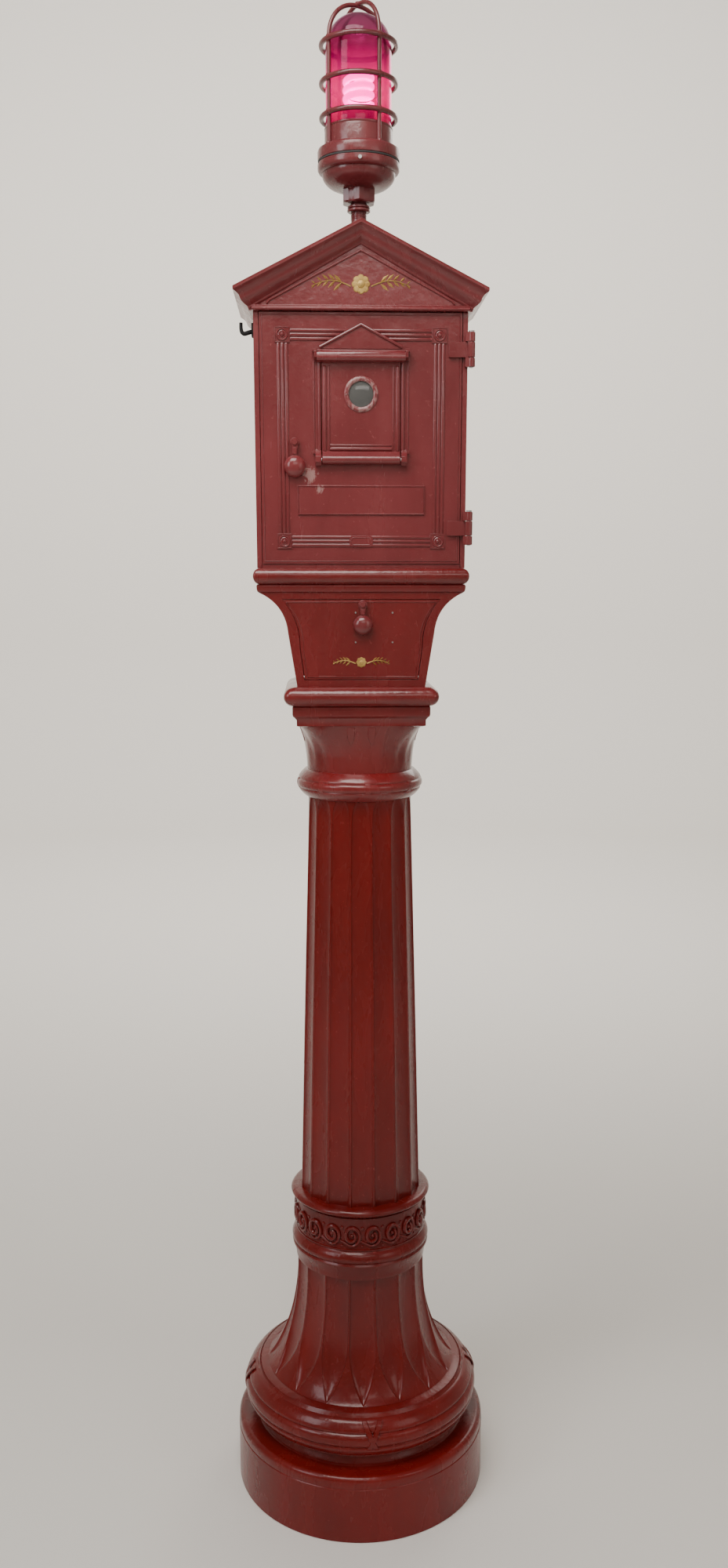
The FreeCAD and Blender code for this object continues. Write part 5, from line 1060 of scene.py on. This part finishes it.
def makeOuterDoor():
    d, h, z0, face = doorSizes, hingeSizes, termTop, doorSizes["face"]
    low, high, bx, rh = z0 + d["lowBand"], z0 + d["highBand"], d["bandX"], d["rosetteHalf"]
    holeLow, holeHigh, radius = z0 + d["holeLow"], z0 + d["holeHigh"], d["reedR"]
    pieces = [plateWithHoles(rectangle(-d["half"], d["half"], z0 + d["foot"], z0 + d["head"]),
        [rectangle(-d["holeHalf"], d["holeHalf"], holeLow, holeHigh),
        circle(d["keyX"], z0 + d["keyRise"], d["keyR"])], face, d["back"])]
    for z in (low, high):
        pieces += rosette(-bx, z, face) + rosette(bx, z, face)
    for off in (-d["reedPitch"], 0, d["reedPitch"]):  # reed bands between the rosettes
        pieces.append(reedBar(2 * (bx - rh), radius, False, rh - bx, low + off, face, 1.8))
        # the upper band passes behind the small gable
        cut = (d["gableHigh"] - d["highBand"] - off - 1) * d["gableHalf"] / (d["gableHigh"] - d["gableLow"])
        for x in (rh - bx, cut):
            pieces.append(reedBar(bx - rh - cut, radius, False, x, high + off, face, 1.8))
        for x in (-bx, bx):
            pieces.append(reedBar(high - low - 2 * rh, radius, True, x + off, low + rh, face, 1.8))
    pieces.append(beading(rectangle(-133.6, 133.6, z0 + 9.6, z0 + 331.6), face, 0.9))
    wide, inset = d["plateHalf"], 1.6  # blank name plate with a raised margin
    plateLow, plateHigh = z0 + d["plateLow"], z0 + d["plateHigh"]
    pieces += [block(-wide, wide, face - 1.4, face + 0.6, plateLow, plateHigh, 0.8),
        beading(rectangle(inset - wide, wide - inset, plateLow + inset, plateHigh - inset), face - 1.4,
        1.1)]
    pieces += [slabOf(lozenge(17.5, 7.4, low), face - 2.2, face + 0.6),
        beading(lozenge(14.8, 4.9, low), face - 2.2, 0.8)]
    gable, foot, tip = d["gableHalf"], z0 + d["gableLow"], z0 + d["gableHigh"]  # small, over the handle
    pieces += [slabOf([(gable, foot - 2.4), (gable - 1, foot), (0, tip - 1), (1 - gable, foot),
        (-gable, foot - 2.4)], face - 4.6, face + 0.6), beading([(-gable - 1.5, foot - 0.5),
        (0, tip - 1.2), (gable + 1.5, foot - 0.5)], face - 4.8, 2.3, 8, False)]
    # ribs beside the inner door, and the ears that carry its roll
    ear = shifted([(-88.6, 136.6), (-97, 136.6), (-102, 141.5), (-102.2, 148.5), (-98, 153.5),
        (-93, 156.5), (-88.6, 159)], 0, z0)
    for side in (-1, 1):
        for x, r, out in ((56.9, 2.6, 3.0), (64.0, 1.2, 1.4)):
            pieces.append(reedBar(holeHigh - holeLow - 2, r, True, side * x, holeLow + 1, face, out))
        pieces += [sideSlab(ear, *sorted((side * 54.6, side * 62.5))),
            block(*sorted((side * 54.8, side * 66.0)), -93.5, -88.4, z0 + 152.6, z0 + 157.0, 0.9)]
    for mid in (z0 + rise for rise in h["rises"]):
        down, up = mid - h["strap"], mid + h["strap"]
        pieces += [knuckleBarrel(down, up), block(119.0, 150.5, -93.4, -88.6, down, up, 1.1),
            block(144.5, 150.5, -97.6, -92.0, down, up)]
    finished("alarmDoor", pieces, doorRed, "outer_door", 32, 0.45, "outer_door")


def makeQuickDoor():
    q, z0, face, body = quickSizes, termTop, quickSizes["face"], "quick_door"
    low, high, wz, g, b = z0 + q["low"], z0 + q["high"], z0 + q["window"], q["glassR"], q["bezelR"]
    pieces = [plateWithHoles(rectangle(-q["half"], q["half"], low, high), [circle(0, wz, g - 0.9, 48)],
        face, q["back"])]
    for side in (-1, 1):
        for x, r, out in ((49.6, 2.4, 2.2), (43.8, 1.3, 1.3)):
            pieces.append(reedBar(high - low - 9, r, True, side * x, low + 3, face, out))
    for r, rise, out in ((2.5, 6.2, 2.4), (1.2, 11.0, 0.9)):
        pieces.append(reedBar(85.0, r, False, -42.5, low + rise, face, out))
    r, wide = q["rollR"], q["rollHalf"]
    roll = turned([(0, -wide), (r - 0.8, -wide), (r, 0.8 - wide), (r, wide - 0.8), (r - 0.8, wide),
        (0, wide)], 40)
    web = [(-96, 147.5), (-96, 150.8), (-91.2, 156.5), (-84, 157.5), (-84, 153.4), (-90.5, 149.8)]
    hood = [(-90.5, 270.6), (-97, 271.2), (-101, 272.6), (-102.8, 275.4), (-102.9, 279.2),
        (-101.6, 282.6), (-98.4, 285.2), (-94.4, 286.2), (-94.2, 287.4), (-90.5, 287.4)]
    cap = [(-90, 273), (-96, 273.2), (-102, 276.5), (-102.6, 284.2), (-100.2, 287.6), (-90, 288.2)]
    web, hood, cap = (shifted(outline, 0, z0) for outline in (web, hood, cap))
    wide = q["hoodHalf"]
    pieces += [placed(roll, 0, q["pinY"], z0 + q["pinRise"], axis="Y"), sideSlab(web, -53.2, 53.2),
        sideSlab(hood, 2.6 - wide, wide - 2.6)]
    for side in (-1, 1):
        pieces += [sideSlab(cap, *sorted((side * (wide - 2.8), side * (wide + 1.2)))),
            block(*sorted((side * (wide - 3.6), side * (wide + 3.4))), -102.2, -90.0, z0 + 284.0,
            z0 + 287.4)]
    finished("innerDoor", pieces, doorRed, body, 32, 0.4, body)
    ring = turned([(g - 0.9, -1.0), (b, -1.0), (b + 0.1, 0.7), (b - 1.2, 1.9), (b - 2.6, 2.4),
                   (g + 1.4, 2.4), (g + 0.2, 2.0), (g - 0.9, 0.9)], 64)  # worn, thickly painted
    finished("windowRing", [placed(ring, 0, face, wz)], wornRed, "window_bezel", body=body)
    finished("windowRingScrews", [screwHead(side * q["screwX"], wz, face - 2.35, 1.7, 1.2)
        for side in (-1, 1)], wornRed, "window_screws", 32, body=body)
    pane = turned([(0, -1.2), (g - 0.2, -1.2), (g - 0.2, 0.9), (g * 0.7, 2.2), (g * 0.35, 2.9), (0, 3.1)],
        48)
    finished("windowLens", [placed(pane, 0, face + 1.6, wz)], windowGlass, "window_glass", body=body)


makeTerminalBox()
makeTerminalDoor()
makeShell()
makeRoof()
makeHook()
print("terminal box, alarm box shell and roof made")
makeOuterDoor()
makeQuickDoor()
makeDropCover("alarmKeyCover", doorSizes["keyX"], termTop + 167.6, doorSizes["face"], 31.6, 14.9,
    "main_key_cover", "alarmCoverScrew", "outer_door", "main_cover_screw")
makeDropCover("terminalKeyCover", termDoor["keyX"], capitalTop + 114.0, -91.0, 28.0, 14.0,
    "terminal_key_cover", "terminalCoverScrew", "terminal_door", "terminal_cover_screw")
print("doors, reliefs and key covers made")

lampSizes = {"pipeR": 10.65, "pipeFoot": 1886.0, "nutFoot": 1955.0, "hubFoot": 1966.0, "hubFlats": 43.0,
    "bowlFoot": 1983.0, "rimFoot": 2004.0, "rimR": 56.5, "guardFoot": 2019.0, "ringR": 50.9, "barR": 48.2,
    "ringHeights": (2073.0, 2116.0, 2163.0), "wire": 3.1, "apex": 2217.2, "barTurn": 33.0, "globeR": 45.0,
    "globeTop": 2201.0, "globeBend": 2160.0, "globeWall": 2.6, "spiralR": 17.5, "tubeR": 4.3,
    "spiralFoot": 2084.0, "spiralHead": 2127.0, "spiralTurns": 3.3}
lampRed = slots["lamp_metal"]


# A chamfered six-sided nut with a round bore
def hexNut(flats, low, high, bore, cham=1.6):
    corner = flats / sqrt(3) + 1
    nut = turned([(bore, low), (flats / 2 - 0.6, low), (corner, low + cham), (corner, high - cham),
        (flats / 2 - 0.6, high), (bore, high)], 48)
    for v in nut.vertices:
        r, a = hypot(v.co.x, v.co.y) / mm, atan2(v.co.y, v.co.x)
        if r > bore + 0.5:
            shrink = min(1.0, flats / 2 / cos((a + pi / 6) % (pi / 3) - pi / 6) / r)
            v.co.x, v.co.y = v.co.x * shrink, v.co.y * shrink
    return nut


def makeLampStem():
    s = lampSizes
    r, z = s["pipeR"], s["nutFoot"]
    threads = [turned([(r - 0.3, low), (r + 0.55, low + 0.7), (r - 0.3, low + 1.4)], 40)
        for low in (1945.4 + 1.8 * k for k in range(5))]
    pipe = turned([(8.0, s["pipeFoot"]), (r, s["pipeFoot"]), (r, 1956), (r, 1974), (8.0, 1974.4)], 40)
    finished("lampStem", [pipe] + threads, lampRed, "lamp_pipe")
    nut = [(11, 0), (14.4, 0), (16, 1.2), (16, 3.4), (14.2, 4.4), (15.8, 5.4), (15.8, 7.2), (14.6, 7.9),
           (11, 7.9)]
    finished("stemLocknut", [turned(shifted(nut, 0, z), 44)], lampRed, "pipe_locknut", 32)


def makeLampBowl():
    s = lampSizes
    foot, r, z = s["bowlFoot"], s["rimR"], s["rimFoot"]
    bowl = [(12.0, foot - 1), (21.5, foot - 1), (22.4, foot)]
    bowl += arc(22.4, foot + 20.5, 28.2, 20.5, -quarter, 0, 12, 1.05)[1:]
    bowl += shifted([(-4.1, -0.2), (-1.5, 1.4), (-0.1, 4.0), (0, 7.5), (0, 10.6), (-0.9, 11.4),
        (-0.9, 12.4), (-2.0, 12.95), (-10.5, 12.95), (-12.5, 6)], r, z)
    bowl += [(14, foot + 4), (12.0, foot + 3)]
    hub = hexNut(s["hubFlats"], s["hubFoot"], foot + 1.5, 11.4)
    finished("lampBowl", [hub, turned(bowl, 96)], lampRed, "lamp_bowl", 32)


# One bar of the guard: up one side, over the globe and down the other
def guardHoop(turn, apexZ):
    s = lampSizes
    r, low, shoulder = s["barR"], s["guardFoot"] + 9, s["ringHeights"][2] + 3
    rise, a = apexZ - s["wire"] - shoulder, radians(turn - 90)
    path = [(r, z) for z in spread(low, shoulder, 6)]
    path += arc(0, shoulder, r, rise, 0, quarter, 12, 0.92)[1:-1]
    path += [(0, shoulder + rise)] + [(-q, z) for q, z in reversed(path)]
    return sweptBar([(q * cos(a), q * sin(a), z) for q, z in path], s["wire"] - 0.2, 12)


def makeGuard():
    s = lampSizes
    z, r, wire, top, turn = s["guardFoot"], s["rimR"], s["wire"], s["apex"], s["barTurn"]
    rim = turned(shifted([(-9.7, 0), (-1.4, 0), (-0.3, 0.8), (-0.1, 2.4), (0, 4), (0, 11.5), (-1.0, 14.4),
        (-3.4, 15.9), (-7.1, 16), (-9.7, 14.5)], r, z), 96)
    rings = [turned(arc(s["ringR"], h, wire * 1.02, wire * 1.12, 0, full, 14)[:-1], 96)
        for h in s["ringHeights"]]
    pieces = [rim] + rings + [guardHoop(turn, top), guardHoop(turn + 90, top - 2.4)]
    for h in s["ringHeights"] + (z + 14.0,):  # lugs where bars and rings join
        lug = turned([(0, -5.4), (2.3, -4.6), (3.5, -2.6), (3.8, 0), (3.5, 2.6), (2.3, 4.6), (0, 5.4)], 14)
        pieces.append(around([placed(lug, s["barR"] + 1.4, 0, h, 0)], 4, lampRed, turn))
    knob = [(0, -6.4), (4.4, -5.6), (5.4, -3.4), (4.4, -1.0), (0, -0.1)]
    pieces.append(turned(shifted(knob, 0, top), 24))
    finished("beaconGuard", pieces, lampRed, "lamp_guard", 40)


def makeGlobe():
    s = lampSizes
    top, bend = s["globeTop"], s["globeBend"]

    def skin(inset):
        r = s["globeR"] - inset
        return ([(r, z) for z in (2022.0, 2060.0, 2110.0)] + arc(0, bend, r, top - inset - bend, 0,
            quarter, 16, 0.9)[:-1] + [(0, top - inset)])
    finished("beaconGlobe", [turned(skin(0) + skin(s["globeWall"])[::-1], 96)], slots["red_glass"],
        "glass_globe", 50)
    ring = turned([(45.2, 2021), (46.6, 2021), (46.6, 2056), (46.2, 2057.6), (46.9, 2058.6),
        (46.9, 2060.2), (46, 2061), (45.2, 2060.6)], 72)
    finished("globeHolder", [ring], lampRed, "globe_ring")


# Coiled glass tube of the lamp, rising from its foot
def makeSpiral():
    s = lampSizes
    r, foot, rise = s["spiralR"], s["spiralFoot"] + 8, s["spiralHead"] - s["spiralFoot"] - 8
    path = [(r, 0, s["spiralFoot"] - 2)]
    path += [(r * cos(full * s["spiralTurns"] * t), r * sin(full * s["spiralTurns"] * t), foot + rise * t)
        for t in spread(0, 1, 90)]
    finished("spiralTube", [sweptBar(path, s["tubeR"], 12)], slots["lamp_glow"], "spiral_lamp", 50)


makeLampStem()
makeLampBowl()
makeGuard()
makeGlobe()
makeSpiral()
print("beacon lamp made")
